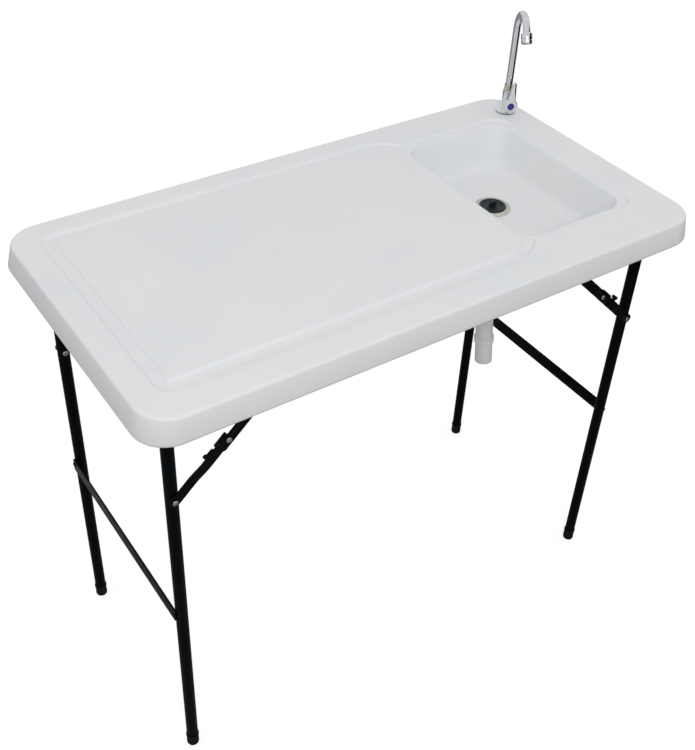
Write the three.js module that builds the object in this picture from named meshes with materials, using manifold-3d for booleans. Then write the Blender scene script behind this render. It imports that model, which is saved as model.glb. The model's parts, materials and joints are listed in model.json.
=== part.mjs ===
import * as THREE from 'three';
import { mergeVertices } from 'three/addons/utils/BufferGeometryUtils.js';
import Module from 'manifold-3d';

// A folding fish cleaning table: a moulded plastic top with a juice groove and a sink, on two leg
// frames that swing up under it, each held by a pair of two-link folding braces, with a swivel
// faucet and a drain pipe.
// Millimetres. X runs along the top towards the sink, Y to the back, Z up from the floor.

const library = await Module();
library.setup();

// Driving dimensions of the whole table.
const tableLength = 1150;
const tableWidth = 600;
const tableHeight = 934;
const seatGap = 0.3;
const cutOverrun = 3;
const weldDistance = 0.0001;

// Moulded top.
const skirtDepth = 51;
const deckThickness = 24;
const rimWidth = 26;
const rimDraft = 2;
const topCornerRadius = 60;
const topEdgeRadius = 14;
const skirtEdgeRadius = 4;
const recessFilletRadius = 3;

// Juice groove round the cutting surface. Margins run from the edges of the top.
const grooveWidth = 25.5;
const grooveDepth = 4;
const grooveFloorRadius = 1.6;
const grooveEndMargin = 57;
const grooveFrontMargin = 67;
const grooveBackMargin = 50;
const grooveCornerRadius = 22;
const grooveTurnRadius = 87;
const grooveTurnAngle = THREE.MathUtils.degToRad(50);
const grooveTurnFromSink = 56;

// Sink, moulded in one with the top.
const sinkLength = 282;
const sinkWidth = 411;
const sinkEndMargin = 70;
const sinkBackMargin = 86;
const sinkOuterCornerRadius = 42;
const sinkInnerCornerRadius = 22;
const sinkLedgeWidth = 14.5;
const sinkLedgeDepth = 5;
const sinkDepth = 92;
const sinkWall = 4;
const sinkEndDraft = 17;
const sinkSideDraft = 25;
const sinkFloorRadius = 18;

// Shallow score from the sink to the front edge.
const scoreFromSink = 145;
const scoreWidth = 2.4;
const scoreDepth = 1.4;
const scoreEdgeMargin = 17;

// Leg frames: one bent tube each. The right one hangs lower, so that it folds under the left one.
const legTubeDiameter = 22.5;
const legTubeWall = 1.2;
const legFromEnd = 64;
const legFromSide = 79;
const legBendRadius = 42;
const leftPivotBelowTop = 38;
const rightPivotBelowTop = 66;

// Feet and cross straps.
const footDiameter = 25.5;
const footHeight = 30;
const footSole = 4;
const footEdgeRadius = 3.5;
const strapHeight = 30;
const strapThickness = 3;
const strapLevel = 412;
const strapCornerRadius = 4;

// Saddles that hold the top bar of each leg frame under the deck.
const saddleWall = 3;
const saddleLength = 26;
const saddlePlateLength = 62;
const saddlePlateThickness = 3;
const saddleFromMiddle = 130;
const saddleScrewDiameter = 5;
const saddleScrewSpacing = 46;

// Folding braces. The lower link is cranked, which leaves room for its rivet head when folded.
const bracePivotDrop = 193;
const lowerLinkLength = 136;
const bracketPivotRise = 2;
const linkWidth = 20;
const linkThickness = 2.5;
const linkCrank = 3;
const crankFromKnuckle = 70;
const crankRun = 8;
const upperLinkOverrun = 22;
const linkTipChamfer = 3;
const stopTabLength = 29;
const stopTabThickness = 2;
const rivetDiameter = 6;
const rivetHeadDiameter = 10.4;
const rivetHeadHeight = 2.2;
const countersinkDiameter = 10;
const countersinkDepth = 1.3;

// Brackets that hang the braces from the deck.
const bracketWidth = 24;
const bracketFoot = 20;
const bracketThickness = 2.5;

// Lock catch on the lower link.
const catchFromKnuckle = 43;
const catchOffset = 15.2;
const catchReach = 13.7;
const catchWidth = 9.6;
const catchThickness = 2;
const catchNose = 2;
const catchLugLength = 12;
const catchPinDiameter = 4;

// Drain in the sink floor, with its plug.
const drainFromSinkInnerEnd = 132;
const drainBehindSinkMiddle = 32;
const drainFlangeDiameter = 74;
const drainFlangeThickness = 3.8;
const drainTailDiameter = 46;
const drainTailLength = 86;
const drainWall = 3.6;
const drainSeatDiameter = 54;
const drainSeatDepth = 1.6;
const gasketDiameter = 66;
const gasketThickness = 3;
const drainNutDiameter = 70;
const drainNutHeight = 9;
const drainNutLobes = 8;
const drainNutLobeDepth = 2.6;
const plugThickness = 3.2;
const plugRim = 4.4;
const plugSpigotDepth = 7;
const plugTabWidth = 17;
const plugTabThickness = 5;
const plugTabHeight = 9;

// Waste pipe, which leans out of plumb towards the front.
const pipeDiameter = 38;
const pipeWall = 2;
const pipeLean = THREE.MathUtils.degToRad(7.95);
const pipeUpperLength = 230.5;
const pipeLowerLength = 57.5;
const slipNutHeight = 34;
const slipNutWall = 3.4;
const slipNutLip = 3;
const collarLength = 14;
const collarWall = 2.7;

// Faucet. Places run from the back right corner of the top.
const faucetFromEnd = 42.8;
const faucetFromBack = 73.5;
const faucetFlangeDiameter = 41;
const faucetFlangeHeight = 3.2;
const faucetBodyDiameter = 22;
const faucetBodyHeight = 50;
const faucetShoulder = 7;
const faucetShankDiameter = 17;
const faucetShankLength = 30;
const faucetNutDiameter = 22;
const faucetNutHeight = 8;
const spoutDiameter = 14.8;
const spoutWall = 1.1;
const spoutSocketDepth = 12;
const spoutStraight = 184;
const spoutBendRadius = 44.5;
const spoutSweep = THREE.MathUtils.degToRad(146.6);
const spoutTip = 6;
const spoutHeading = THREE.MathUtils.degToRad(29.4);
const collarNutDiameter = 19.5;
const collarNutHeight = 12;
const collarNutSides = 6;
const aeratorDiameter = 22.6;
const aeratorLength = 21;
const aeratorBore = 9;
const leverHeading = THREE.MathUtils.degToRad(17.5);
const leverTilt = THREE.MathUtils.degToRad(3);
const leverAxisHeight = 19.8;
const leverHubDiameter = 31;
const leverHubLength = 6;
const leverBossDiameter = 20;
const leverFromAxis = 17;
const leverReach = 54;
const leverTipWidth = 10.5;
const leverRootWidth = 22;
const leverBladeThickness = 4.6;
const indexCapDiameter = 15;
const indexCapHeight = 1.6;

// Numbers of facets.
const cornerSteps = 5;
const roundSteps = 3;
const bendSteps = 5;
const tubeSides = 16;
const ringSides = 20;
const smallSides = 12;
const rivetSides = 10;

// Levels and places that follow from the sizes above.
const halfLength = tableLength / 2;
const halfWidth = tableWidth / 2;
const skirtBottom = tableHeight - skirtDepth;
const deckUnderside = tableHeight - deckThickness;
const legX = halfLength - legFromEnd;
const legY = halfWidth - legFromSide;
const legTubeRadius = legTubeDiameter / 2;
const linkHalfWidth = linkWidth / 2;

// The braces' bracket pivot lies so that the links are straight with the leg down, and lie one over
// the other with it folded.
const bracketPivotReach = (bracePivotDrop ** 2 + (bracePivotDrop + bracketPivotRise) ** 2
  - 4 * lowerLinkLength ** 2) / (4 * lowerLinkLength - 2 * bracePivotDrop);
const upperLinkLength = lowerLinkLength + bracketPivotReach;
const bracketX = legX - bracePivotDrop - bracketPivotReach;
const braceSlope = Math.atan2(bracePivotDrop + bracketPivotRise, bracePivotDrop + bracketPivotReach);

// Layers of the brace, as distances from the table's middle plane.
const lowerLinkNear = legY + legTubeRadius + seatGap;
const lowerLinkFar = lowerLinkNear + linkThickness;
const crankedNear = lowerLinkNear + linkCrank;
const crankedFar = crankedNear + linkThickness;
const upperLinkNear = crankedFar + seatGap;
const upperLinkFar = upperLinkNear + linkThickness;
const bracketNear = upperLinkFar + seatGap;
const bracketFar = bracketNear + bracketThickness;

const plastic = { colour: 0xdcdcd8, roughness: 0.45, metalness: 0 };
const blackSteel = { colour: 0x24211f, roughness: 0.4, metalness: 0.3 };
const zincSteel = { colour: 0xc4c4c2, roughness: 0.35, metalness: 1 };
const blackRubber = { colour: 0x1b1b1b, roughness: 0.8, metalness: 0 };
const blackPlastic = { colour: 0x202124, roughness: 0.55, metalness: 0 };
const pipePlastic = { colour: 0xe4e2de, roughness: 0.4, metalness: 0 };
const drainPlastic = { colour: 0xd6d4cc, roughness: 0.45, metalness: 0 };
const plugPlastic = { colour: 0x5c5e60, roughness: 0.5, metalness: 0 };
const chrome = { colour: 0xd9dbdd, roughness: 0.08, metalness: 1 };
const bluePlastic = { colour: 0x2a5fb0, roughness: 0.3, metalness: 0 };

// A named mesh in its own material.
function piece(name, geometry, finish) {
  const material = new THREE.MeshStandardMaterial({
    color: finish.colour, roughness: finish.roughness, metalness: finish.metalness,
  });
  const mesh = new THREE.Mesh(geometry, material);
  mesh.name = name;
  return mesh;
}

// A closed geometry as a solid that can be joined and cut.
function solid(geometry) {
  const bare = geometry.clone();
  bare.deleteAttribute('normal');
  bare.deleteAttribute('uv');
  const welded = mergeVertices(bare, weldDistance);
  return new library.Manifold(new library.Mesh({
    numProp: 3,
    vertProperties: new Float32Array(welded.attributes.position.array),
    triVerts: new Uint32Array(welded.index.array),
  }));
}

// A solid back as a geometry.
function surface(body) {
  const mesh = body.getMesh();
  const geometry = new THREE.BufferGeometry();
  geometry.setAttribute('position', new THREE.BufferAttribute(mesh.vertProperties, mesh.numProp));
  geometry.setIndex(new THREE.BufferAttribute(mesh.triVerts, 1));
  geometry.computeVertexNormals();
  return geometry;
}

// Several geometries joined, and others cut away.
function joined(geometries) {
  return geometries.map(solid).reduce((sum, next) => sum.add(next));
}

function cut(body, geometries) {
  return geometries.map(solid).reduce((rest, next) => rest.subtract(next), body);
}

// A closed skin through rings of points, listed from the bottom up, each counter-clockwise from above.
function loft(rings) {
  const corners = [];
  const count = rings[0].length;
  for (let level = 0; level + 1 < rings.length; level += 1) {
    for (let i = 0; i < count; i += 1) {
      const next = (i + 1) % count;
      const low = rings[level];
      const high = rings[level + 1];
      corners.push(low[i], low[next], high[next], low[i], high[next], high[i]);
    }
  }
  const flat = rings[0].map((point) => new THREE.Vector2(point.x, point.y));
  for (const [a, b, c] of THREE.ShapeUtils.triangulateShape(flat, [])) {
    const bottom = rings[0];
    const top = rings[rings.length - 1];
    corners.push(bottom[c], bottom[b], bottom[a], top[a], top[b], top[c]);
  }
  const geometry = new THREE.BufferGeometry().setFromPoints(corners);
  return mergeVertices(geometry, weldDistance);
}

// A ring of points round a rectangle with rounded corners, drawn in on every side by an inset.
function roundedRing(box, inset, level) {
  const places = [
    [box.right, box.back, box.rightRadius, 0],
    [box.left, box.back, box.leftRadius, 1],
    [box.left, box.front, box.leftRadius, 2],
    [box.right, box.front, box.rightRadius, 3],
  ];
  const ring = [];
  for (const [x, y, cornerRadius, quarter] of places) {
    const radius = Math.max(cornerRadius - inset, cornerRadius / ringSides);
    const signX = x === box.right ? 1 : -1;
    const signY = y === box.back ? 1 : -1;
    const centreX = x - signX * (inset + radius);
    const centreY = y - signY * (inset + radius);
    for (let step = 0; step <= cornerSteps; step += 1) {
      const angle = (quarter + step / cornerSteps) * Math.PI / 2;
      ring.push(new THREE.Vector3(centreX + radius * Math.cos(angle), centreY + radius * Math.sin(angle), level));
    }
  }
  return ring;
}

// A rounded disc or plate outline.
function circle(radius, x = 0, y = 0) {
  return new THREE.Shape().absarc(x, y, radius, 0, 2 * Math.PI);
}

function rectangle(x0, x1, y0, y1) {
  return new THREE.Shape().moveTo(x0, y0).lineTo(x1, y0).lineTo(x1, y1).lineTo(x0, y1).closePath();
}

// A bar with round ends, from one centre to the other along X.
function stadium(from, to, radius) {
  return new THREE.Shape()
    .moveTo(from, -radius)
    .lineTo(to, -radius)
    .absarc(to, 0, radius, -Math.PI / 2, Math.PI / 2)
    .lineTo(from, radius)
    .absarc(from, 0, radius, Math.PI / 2, 1.5 * Math.PI);
}

// A shape drawn in X and Y, given its thickness from one level to another.
function slab(shape, low, high, sides = smallSides) {
  const geometry = new THREE.ExtrudeGeometry(shape, {
    depth: high - low, bevelEnabled: false, curveSegments: sides / 2,
  });
  return geometry.translate(0, 0, low);
}

// A shape drawn in X and Z, given its thickness along Y on the side of the table that the sign says.
function plate(shape, near, far, side, sides = smallSides) {
  const geometry = slab(shape, 0, far - near, sides).rotateX(Math.PI / 2);
  return geometry.translate(0, side > 0 ? far : -near, 0);
}

// A turned piece: its profile is a list of radius and height pairs.
function turned(profile, sides = ringSides) {
  return new THREE.LatheGeometry(profile.map(([radius, height]) => new THREE.Vector2(radius, height)), sides)
    .rotateX(Math.PI / 2);
}

// The same with its axis along Y, its heights counted outwards from the middle of the table.
function turnedAcross(profile, side, sides = rivetSides) {
  const geometry = turned(profile, sides);
  return side > 0 ? geometry.rotateX(-Math.PI / 2) : geometry.rotateX(Math.PI / 2);
}

// A domed rivet head, from its rim to its crown, for a turned profile.
function dome(radius, base, height) {
  return [[radius, base], [radius, base + height * 0.35], [radius * 0.72, base + height * 0.85], [0, base + height]];
}

// An arc that starts at a point and turns round an axis through a centre.
class Bend extends THREE.Curve {
  constructor(centre, start, axis, angle) {
    super();
    this.centre = centre;
    this.arm = start.clone().sub(centre);
    this.axis = axis;
    this.angle = angle;
  }

  getPoint(share, target = new THREE.Vector3()) {
    return target.copy(this.arm).applyAxisAngle(this.axis, this.angle * share).add(this.centre);
  }
}

// A path of straight runs and bends, in which each stretch has its own number of steps.
class BentPath extends THREE.Curve {
  constructor(stretches) {
    super();
    this.stretches = stretches;
    this.steps = stretches.reduce((sum, stretch) => sum + stretch.steps, 0);
  }

  getPoint(share, target = new THREE.Vector3()) {
    let step = share * this.steps;
    let stretch = this.stretches[0];
    for (stretch of this.stretches) {
      if (step <= stretch.steps) break;
      step -= stretch.steps;
    }
    return stretch.curve.getPoint(Math.min(step / stretch.steps, 1), target);
  }

  getUtoTmapping(share) {
    return share;
  }
}

// A tube of one wall thickness along a path, open at both ends.
function tubeAlong(path, outerRadius, wall, sides = tubeSides) {
  const section = circle(outerRadius);
  section.holes.push(new THREE.Path().absarc(0, 0, outerRadius - wall, 0, 2 * Math.PI, true));
  return new THREE.ExtrudeGeometry(section, { steps: path.steps, extrudePath: path, curveSegments: sides / 2 });
}

// The edges of the sink's lip.
const sinkLip = {
  left: halfLength - sinkEndMargin - sinkLength,
  right: halfLength - sinkEndMargin,
  front: halfWidth - sinkBackMargin - sinkWidth,
  back: halfWidth - sinkBackMargin,
  leftRadius: sinkInnerCornerRadius,
  rightRadius: sinkOuterCornerRadius,
};
const sinkFloor = tableHeight - sinkDepth;
const drainX = sinkLip.left + drainFromSinkInnerEnd;
const drainY = (sinkLip.front + sinkLip.back) / 2 + drainBehindSinkMiddle;
const faucetX = halfLength - faucetFromEnd;
const faucetY = halfWidth - faucetFromBack;
const drainTailRadius = drainTailDiameter / 2;
const faucetShankRadius = faucetShankDiameter / 2;

// The sink's cavity, or with a wall given, its outside under the deck.
function sinkForm(wall) {
  const fillet = sinkFloorRadius + wall;
  const wallTop = tableHeight - sinkLedgeDepth;
  const wallHeight = wallTop - sinkFloor;
  const ring = (level, inset) => {
    const drop = (wallTop - level) / wallHeight;
    const box = {
      left: sinkLip.left + sinkLedgeWidth + sinkEndDraft * drop,
      right: sinkLip.right - sinkLedgeWidth - sinkEndDraft * drop,
      front: sinkLip.front + sinkLedgeWidth + sinkSideDraft * drop,
      back: sinkLip.back - sinkLedgeWidth - sinkSideDraft * drop,
      leftRadius: sinkInnerCornerRadius + sinkEndDraft,
      rightRadius: sinkOuterCornerRadius,
    };
    return roundedRing(box, inset, level);
  };
  const rings = [];
  for (let step = 0; step <= roundSteps; step += 1) {
    const angle = step / roundSteps * Math.PI / 2;
    const level = sinkFloor - wall + fillet * (1 - Math.cos(angle));
    rings.push(ring(level, fillet * (1 - Math.sin(angle)) - wall));
  }
  return { ring, rings, wallTop };
}

function sinkCavity() {
  const { ring, rings, wallTop } = sinkForm(0);
  rings.push(ring(wallTop, 0));
  rings.push(roundedRing(sinkLip, 0, wallTop));
  rings.push(roundedRing(sinkLip, 0, tableHeight + cutOverrun));
  return loft(rings);
}

function sinkShell() {
  const { ring, rings } = sinkForm(sinkWall);
  rings.push(ring(deckUnderside + cutOverrun, -sinkWall));
  return loft(rings);
}

// The moulded top's outside, with its rounded edges.
function topForm() {
  const box = {
    left: -halfLength, right: halfLength, front: -halfWidth, back: halfWidth,
    leftRadius: topCornerRadius, rightRadius: topCornerRadius,
  };
  const rings = [];
  for (let step = 0; step <= roundSteps; step += 1) {
    const angle = step / roundSteps * Math.PI / 2;
    const inset = skirtEdgeRadius * (1 - Math.sin(angle));
    rings.push(roundedRing(box, inset, skirtBottom + skirtEdgeRadius * (1 - Math.cos(angle))));
  }
  for (let step = 0; step <= bendSteps; step += 1) {
    const angle = step / bendSteps * Math.PI / 2;
    const inset = topEdgeRadius * (1 - Math.cos(angle));
    rings.push(roundedRing(box, inset, tableHeight - topEdgeRadius * (1 - Math.sin(angle))));
  }
  return loft(rings);
}

// The hollow under the deck, inside the rim, with a fillet along the deck.
function underRecess() {
  const box = {
    left: -halfLength + rimWidth, right: halfLength - rimWidth,
    front: -halfWidth + rimWidth, back: halfWidth - rimWidth,
    leftRadius: topCornerRadius - rimWidth, rightRadius: topCornerRadius - rimWidth,
  };
  const rings = [roundedRing(box, 0, skirtBottom - cutOverrun)];
  for (let step = 0; step <= roundSteps; step += 1) {
    const angle = step / roundSteps * Math.PI / 2;
    const inset = rimDraft + recessFilletRadius * (1 - Math.cos(angle));
    rings.push(roundedRing(box, inset, deckUnderside - recessFilletRadius * (1 - Math.sin(angle))));
  }
  return loft(rings);
}

// The juice groove: along the front, the left end and the back, turning into the sink's two corners.
function juiceGroove() {
  const left = -halfLength + grooveEndMargin;
  const front = -halfWidth + grooveFrontMargin;
  const back = halfWidth - grooveBackMargin;
  const turnX = sinkLip.left - grooveTurnFromSink;
  const outerTurn = grooveTurnRadius + grooveWidth / 2;
  const innerTurn = grooveTurnRadius - grooveWidth / 2;
  const frontCentre = front + outerTurn;
  const backCentre = back - outerTurn;
  const frontEnd = -Math.PI / 2 + grooveTurnAngle;
  const backEnd = Math.PI / 2 - grooveTurnAngle;
  const shape = new THREE.Shape()
    .absarc(turnX, frontCentre, outerTurn, frontEnd, -Math.PI / 2, true)
    .absarc(left + grooveCornerRadius, front + grooveCornerRadius, grooveCornerRadius, -Math.PI / 2, -Math.PI, true)
    .absarc(left + grooveCornerRadius, back - grooveCornerRadius, grooveCornerRadius, Math.PI, Math.PI / 2, true)
    .absarc(turnX, backCentre, outerTurn, Math.PI / 2, backEnd, true)
    .absarc(turnX, backCentre, innerTurn, backEnd, Math.PI / 2, false)
    .lineTo(left + grooveWidth, back - grooveWidth)
    .lineTo(left + grooveWidth, front + grooveWidth)
    .absarc(turnX, frontCentre, innerTurn, -Math.PI / 2, frontEnd, false);
  const geometry = new THREE.ExtrudeGeometry(shape, {
    depth: grooveDepth + cutOverrun - grooveFloorRadius,
    bevelThickness: grooveFloorRadius,
    bevelSize: grooveFloorRadius,
    bevelOffset: -grooveFloorRadius,
    bevelSegments: 2,
    curveSegments: cornerSteps,
  });
  return geometry.translate(0, 0, tableHeight - grooveDepth + grooveFloorRadius);
}

function tabletop() {
  const hollow = cut(solid(topForm()), [underRecess()]);
  const scoreX = sinkLip.left + scoreFromSink;
  const score = rectangle(scoreX - scoreWidth / 2, scoreX + scoreWidth / 2,
    -halfWidth + scoreEdgeMargin, sinkLip.front + sinkLedgeWidth / 2);
  const body = cut(hollow.add(solid(sinkShell())), [
    sinkCavity(),
    juiceGroove(),
    slab(score, tableHeight - scoreDepth, tableHeight + cutOverrun),
    slab(circle(drainTailRadius + seatGap, drainX, drainY), sinkFloor - sinkWall - cutOverrun,
      sinkFloor + cutOverrun, ringSides),
    slab(circle(faucetShankRadius + seatGap, faucetX, faucetY), deckUnderside - cutOverrun,
      tableHeight + cutOverrun, smallSides),
  ]);
  return piece('tabletop', surface(body), plastic);
}

// One leg frame seen from its own end of the table, with the end's pivot height.
function legPath(pivotLevel) {
  const floor = footSole + seatGap;
  const corner = legY - legBendRadius;
  const shoulder = pivotLevel - legBendRadius;
  const axis = new THREE.Vector3(1, 0, 0);
  const point = (y, z) => new THREE.Vector3(legX, y, z);
  return new BentPath([
    { curve: new THREE.LineCurve3(point(-legY, floor), point(-legY, shoulder)), steps: 1 },
    { curve: new Bend(point(-corner, shoulder), point(-legY, shoulder), axis, -Math.PI / 2), steps: bendSteps },
    { curve: new THREE.LineCurve3(point(-corner, pivotLevel), point(corner, pivotLevel)), steps: 1 },
    { curve: new Bend(point(corner, shoulder), point(corner, pivotLevel), axis, -Math.PI / 2), steps: bendSteps },
    { curve: new THREE.LineCurve3(point(legY, shoulder), point(legY, floor)), steps: 1 },
  ]);
}

function legFrame(end, pivotLevel) {
  const rivetLevel = pivotLevel - bracePivotDrop;
  const tube = solid(tubeAlong(legPath(pivotLevel), legTubeRadius, legTubeWall));
  const holeReach = halfWidth;
  const hole = plate(circle(rivetDiameter / 2 + seatGap, legX, rivetLevel), -holeReach, holeReach, 1);
  return piece(`${end}_leg_frame`, surface(cut(tube, [hole])), blackSteel);
}

function crossStrap(end) {
  const reach = legY + legTubeRadius;
  const radius = strapCornerRadius;
  const top = strapLevel + strapHeight / 2;
  const bottom = strapLevel - strapHeight / 2;
  const shape = new THREE.Shape()
    .absarc(reach - radius, top - radius, radius, 0, Math.PI / 2)
    .absarc(-reach + radius, top - radius, radius, Math.PI / 2, Math.PI)
    .absarc(-reach + radius, bottom + radius, radius, Math.PI, 1.5 * Math.PI)
    .absarc(reach - radius, bottom + radius, radius, 1.5 * Math.PI, 2 * Math.PI);
  const geometry = slab(shape, 0, strapThickness, smallSides / 2).rotateX(Math.PI / 2).rotateZ(Math.PI / 2);
  return piece(`${end}_cross_strap`, geometry.translate(legX + legTubeRadius + seatGap, 0, 0), blackSteel);
}

function footCap(name, side) {
  const outer = footDiameter / 2;
  const inner = legTubeRadius + seatGap;
  const edge = [];
  for (let step = 0; step <= roundSteps; step += 1) {
    const angle = step / roundSteps * Math.PI / 2;
    edge.push([outer - footEdgeRadius * (1 - Math.sin(angle)), footEdgeRadius * (1 - Math.cos(angle))]);
  }
  const geometry = turned([[0, 0], ...edge, [outer, footHeight], [inner, footHeight], [inner, footSole], [0, footSole]],
    tubeSides);
  const cap = piece(name, geometry, blackRubber);
  cap.position.set(legX, side * legY, 0);
  return cap;
}

// A saddle: a block bored for the top bar, under a plate that is screwed to the deck.
function saddle(name, pivotLevel, side) {
  const bore = legTubeRadius + seatGap;
  const outer = bore + saddleWall;
  const top = deckUnderside - seatGap;
  const block = new THREE.Shape()
    .moveTo(outer, top)
    .lineTo(-outer, top)
    .absarc(0, pivotLevel, outer, Math.PI, 2 * Math.PI);
  const halfPlate = saddlePlateLength / 2;
  const body = joined([
    plate(block, -saddleLength / 2, saddleLength / 2, 1),
    slab(rectangle(-outer, outer, -halfPlate, halfPlate), top - saddlePlateThickness, top),
  ]);
  const screws = [-1, 1].map((sign) => slab(circle(saddleScrewDiameter / 2, 0, sign * saddleScrewSpacing / 2),
    top - saddlePlateThickness - cutOverrun, top + cutOverrun, smallSides / 2));
  const tube = plate(circle(bore, 0, pivotLevel), -saddlePlateLength, saddlePlateLength, 1, tubeSides);
  const mesh = piece(name, surface(cut(body, [tube, ...screws])), blackSteel);
  mesh.position.set(legX, side * saddleFromMiddle, 0);
  return mesh;
}

// The rivet through the leg, headed on the inner side; its other head is on the lower link.
function legRivet(name, pivotLevel, side) {
  const radius = rivetDiameter / 2;
  const innerFace = legY - legTubeRadius - seatGap;
  const crown = innerFace - rivetHeadHeight;
  const head = rivetHeadDiameter / 2;
  const profile = [[0, crown], [head * 0.72, crown + rivetHeadHeight * 0.15], [head, crown + rivetHeadHeight * 0.65],
    [head, innerFace], [radius, innerFace], [radius, legY + legTubeRadius], [0, legY + legTubeRadius]];
  const rivet = piece(name, turnedAcross(profile, side), zincSteel);
  rivet.position.set(legX, 0, pivotLevel - bracePivotDrop);
  return rivet;
}

// The bracket: an ear that hangs beside the upper link, under a foot on the deck.
function braceBracket(name, pivotLevel, side) {
  const pivot = pivotLevel + bracketPivotRise;
  const half = bracketWidth / 2;
  const top = deckUnderside - seatGap;
  const ear = new THREE.Shape()
    .moveTo(half, top)
    .lineTo(-half, top)
    .absarc(0, pivot, half, Math.PI, 2 * Math.PI);
  const foot = rectangle(-half, half, top - bracketThickness, top);
  const body = joined([
    plate(ear, bracketNear, bracketFar, side),
    plate(foot, bracketNear, bracketFar + bracketFoot, side),
  ]);
  const hole = plate(circle(rivetDiameter / 2 + seatGap, 0, pivot), bracketNear - cutOverrun,
    bracketFar + cutOverrun, side);
  const footMiddle = side * (bracketFar + bracketFoot / 2);
  const screw = slab(circle(saddleScrewDiameter / 2, 0, footMiddle), top - bracketThickness - cutOverrun,
    top + cutOverrun, smallSides / 2);
  const mesh = piece(name, surface(cut(body, [hole, screw])), blackSteel);
  mesh.position.set(bracketX, 0, 0);
  return mesh;
}

// The pin of the bracket: headed outside the ear, and flush in the inner face of the upper link.
function bracketPin(name, pivotLevel, side) {
  const radius = rivetDiameter / 2;
  const sunk = countersinkDiameter / 2;
  const profile = [[0, upperLinkNear], [sunk, upperLinkNear], [sunk, upperLinkNear + countersinkDepth],
    [radius, upperLinkNear + countersinkDepth], [radius, bracketFar + seatGap],
    ...dome(rivetHeadDiameter / 2, bracketFar + seatGap, rivetHeadHeight)];
  const pin = piece(name, turnedAcross(profile, side), zincSteel);
  pin.position.set(bracketX, 0, pivotLevel + bracketPivotRise);
  return pin;
}

// The upper link, drawn from its bracket pivot along X, with the stop tab on its upper edge.
function upperLink(name, side) {
  const tip = upperLinkLength + upperLinkOverrun;
  const outline = new THREE.Shape()
    .moveTo(tip - linkTipChamfer, -linkHalfWidth)
    .lineTo(tip, linkTipChamfer - linkHalfWidth)
    .lineTo(tip, linkHalfWidth)
    .lineTo(0, linkHalfWidth)
    .absarc(0, 0, linkHalfWidth, Math.PI / 2, 1.5 * Math.PI);
  const tabNear = linkHalfWidth + seatGap;
  const tabFar = tabNear + stopTabThickness;
  const holeRadius = rivetDiameter / 2 + seatGap;
  const body = joined([
    plate(outline, upperLinkNear, upperLinkFar, side),
    plate(rectangle(tip - stopTabLength, tip, 0, tabFar), upperLinkNear, upperLinkFar, side),
    plate(rectangle(tip - stopTabLength, tip, tabNear, tabFar), lowerLinkNear, upperLinkFar, side),
  ]);
  const cuts = [
    plate(circle(holeRadius), upperLinkNear - cutOverrun, upperLinkFar + cutOverrun, side),
    plate(circle(holeRadius, upperLinkLength), upperLinkNear - cutOverrun, upperLinkFar + cutOverrun, side),
    plate(circle(countersinkDiameter / 2 + seatGap), upperLinkNear - cutOverrun,
      upperLinkNear + countersinkDepth + seatGap, side),
  ];
  return piece(name, surface(cut(body, cuts)), blackSteel);
}

// The lower link, drawn from the knuckle along X: cranked in, with a lug for the catch and its rivet head.
function lowerLink(name, side) {
  const crankStart = crankFromKnuckle - crankRun / 2;
  const crankEnd = crankFromKnuckle + crankRun / 2;
  const start = -linkHalfWidth - cutOverrun;
  const end = lowerLinkLength + linkHalfWidth + cutOverrun;
  const strip = new THREE.Shape()
    .moveTo(start, side * crankedNear)
    .lineTo(crankStart, side * crankedNear)
    .lineTo(crankEnd, side * lowerLinkNear)
    .lineTo(end, side * lowerLinkNear)
    .lineTo(end, side * lowerLinkFar)
    .lineTo(crankEnd, side * lowerLinkFar)
    .lineTo(crankStart, side * crankedFar)
    .lineTo(start, side * crankedFar)
    .closePath();
  const outline = plate(stadium(0, lowerLinkLength, linkHalfWidth), lowerLinkNear - cutOverrun,
    crankedFar + cutOverrun, side);
  const bar = solid(slab(strip, -linkWidth, linkWidth)).intersect(solid(outline));
  const lugRadius = catchWidth / 2;
  const lugStart = catchFromKnuckle + lugRadius - catchLugLength;
  const lug = new THREE.Shape()
    .moveTo(lugStart, 0)
    .lineTo(catchFromKnuckle + lugRadius, 0)
    .absarc(catchFromKnuckle, catchOffset, lugRadius, 0, Math.PI / 2)
    .lineTo(lugStart + lugRadius, catchOffset + lugRadius)
    .lineTo(lugStart, catchOffset);
  const headProfile = [[0, lowerLinkFar - linkThickness / 2], [rivetHeadDiameter / 2, lowerLinkFar - linkThickness / 2],
    ...dome(rivetHeadDiameter / 2, lowerLinkFar, rivetHeadHeight)];
  const head = turnedAcross(headProfile, side).translate(lowerLinkLength, 0, 0);
  const body = bar.add(solid(plate(lug, crankedNear, crankedFar, side))).add(solid(head));
  const cuts = [
    plate(circle(rivetDiameter / 2 + seatGap), crankedNear - cutOverrun, crankedFar + cutOverrun, side),
    plate(circle(catchPinDiameter / 2 + seatGap, catchFromKnuckle, catchOffset), crankedNear - cutOverrun,
      crankedFar + cutOverrun, side),
  ];
  return piece(name, surface(cut(body, cuts)), blackSteel);
}

// The rivet at the knuckle of the two links.
function knuckleRivet(name, side) {
  const radius = rivetDiameter / 2;
  const head = rivetHeadDiameter / 2;
  const innerFace = crankedNear - seatGap;
  const crown = innerFace - rivetHeadHeight;
  const profile = [[0, crown], [head * 0.72, crown + rivetHeadHeight * 0.15], [head, crown + rivetHeadHeight * 0.65],
    [head, innerFace], [radius, innerFace], [radius, upperLinkFar + seatGap],
    ...dome(head, upperLinkFar + seatGap, rivetHeadHeight)];
  return piece(name, turnedAcross(profile, side), zincSteel);
}

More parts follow.
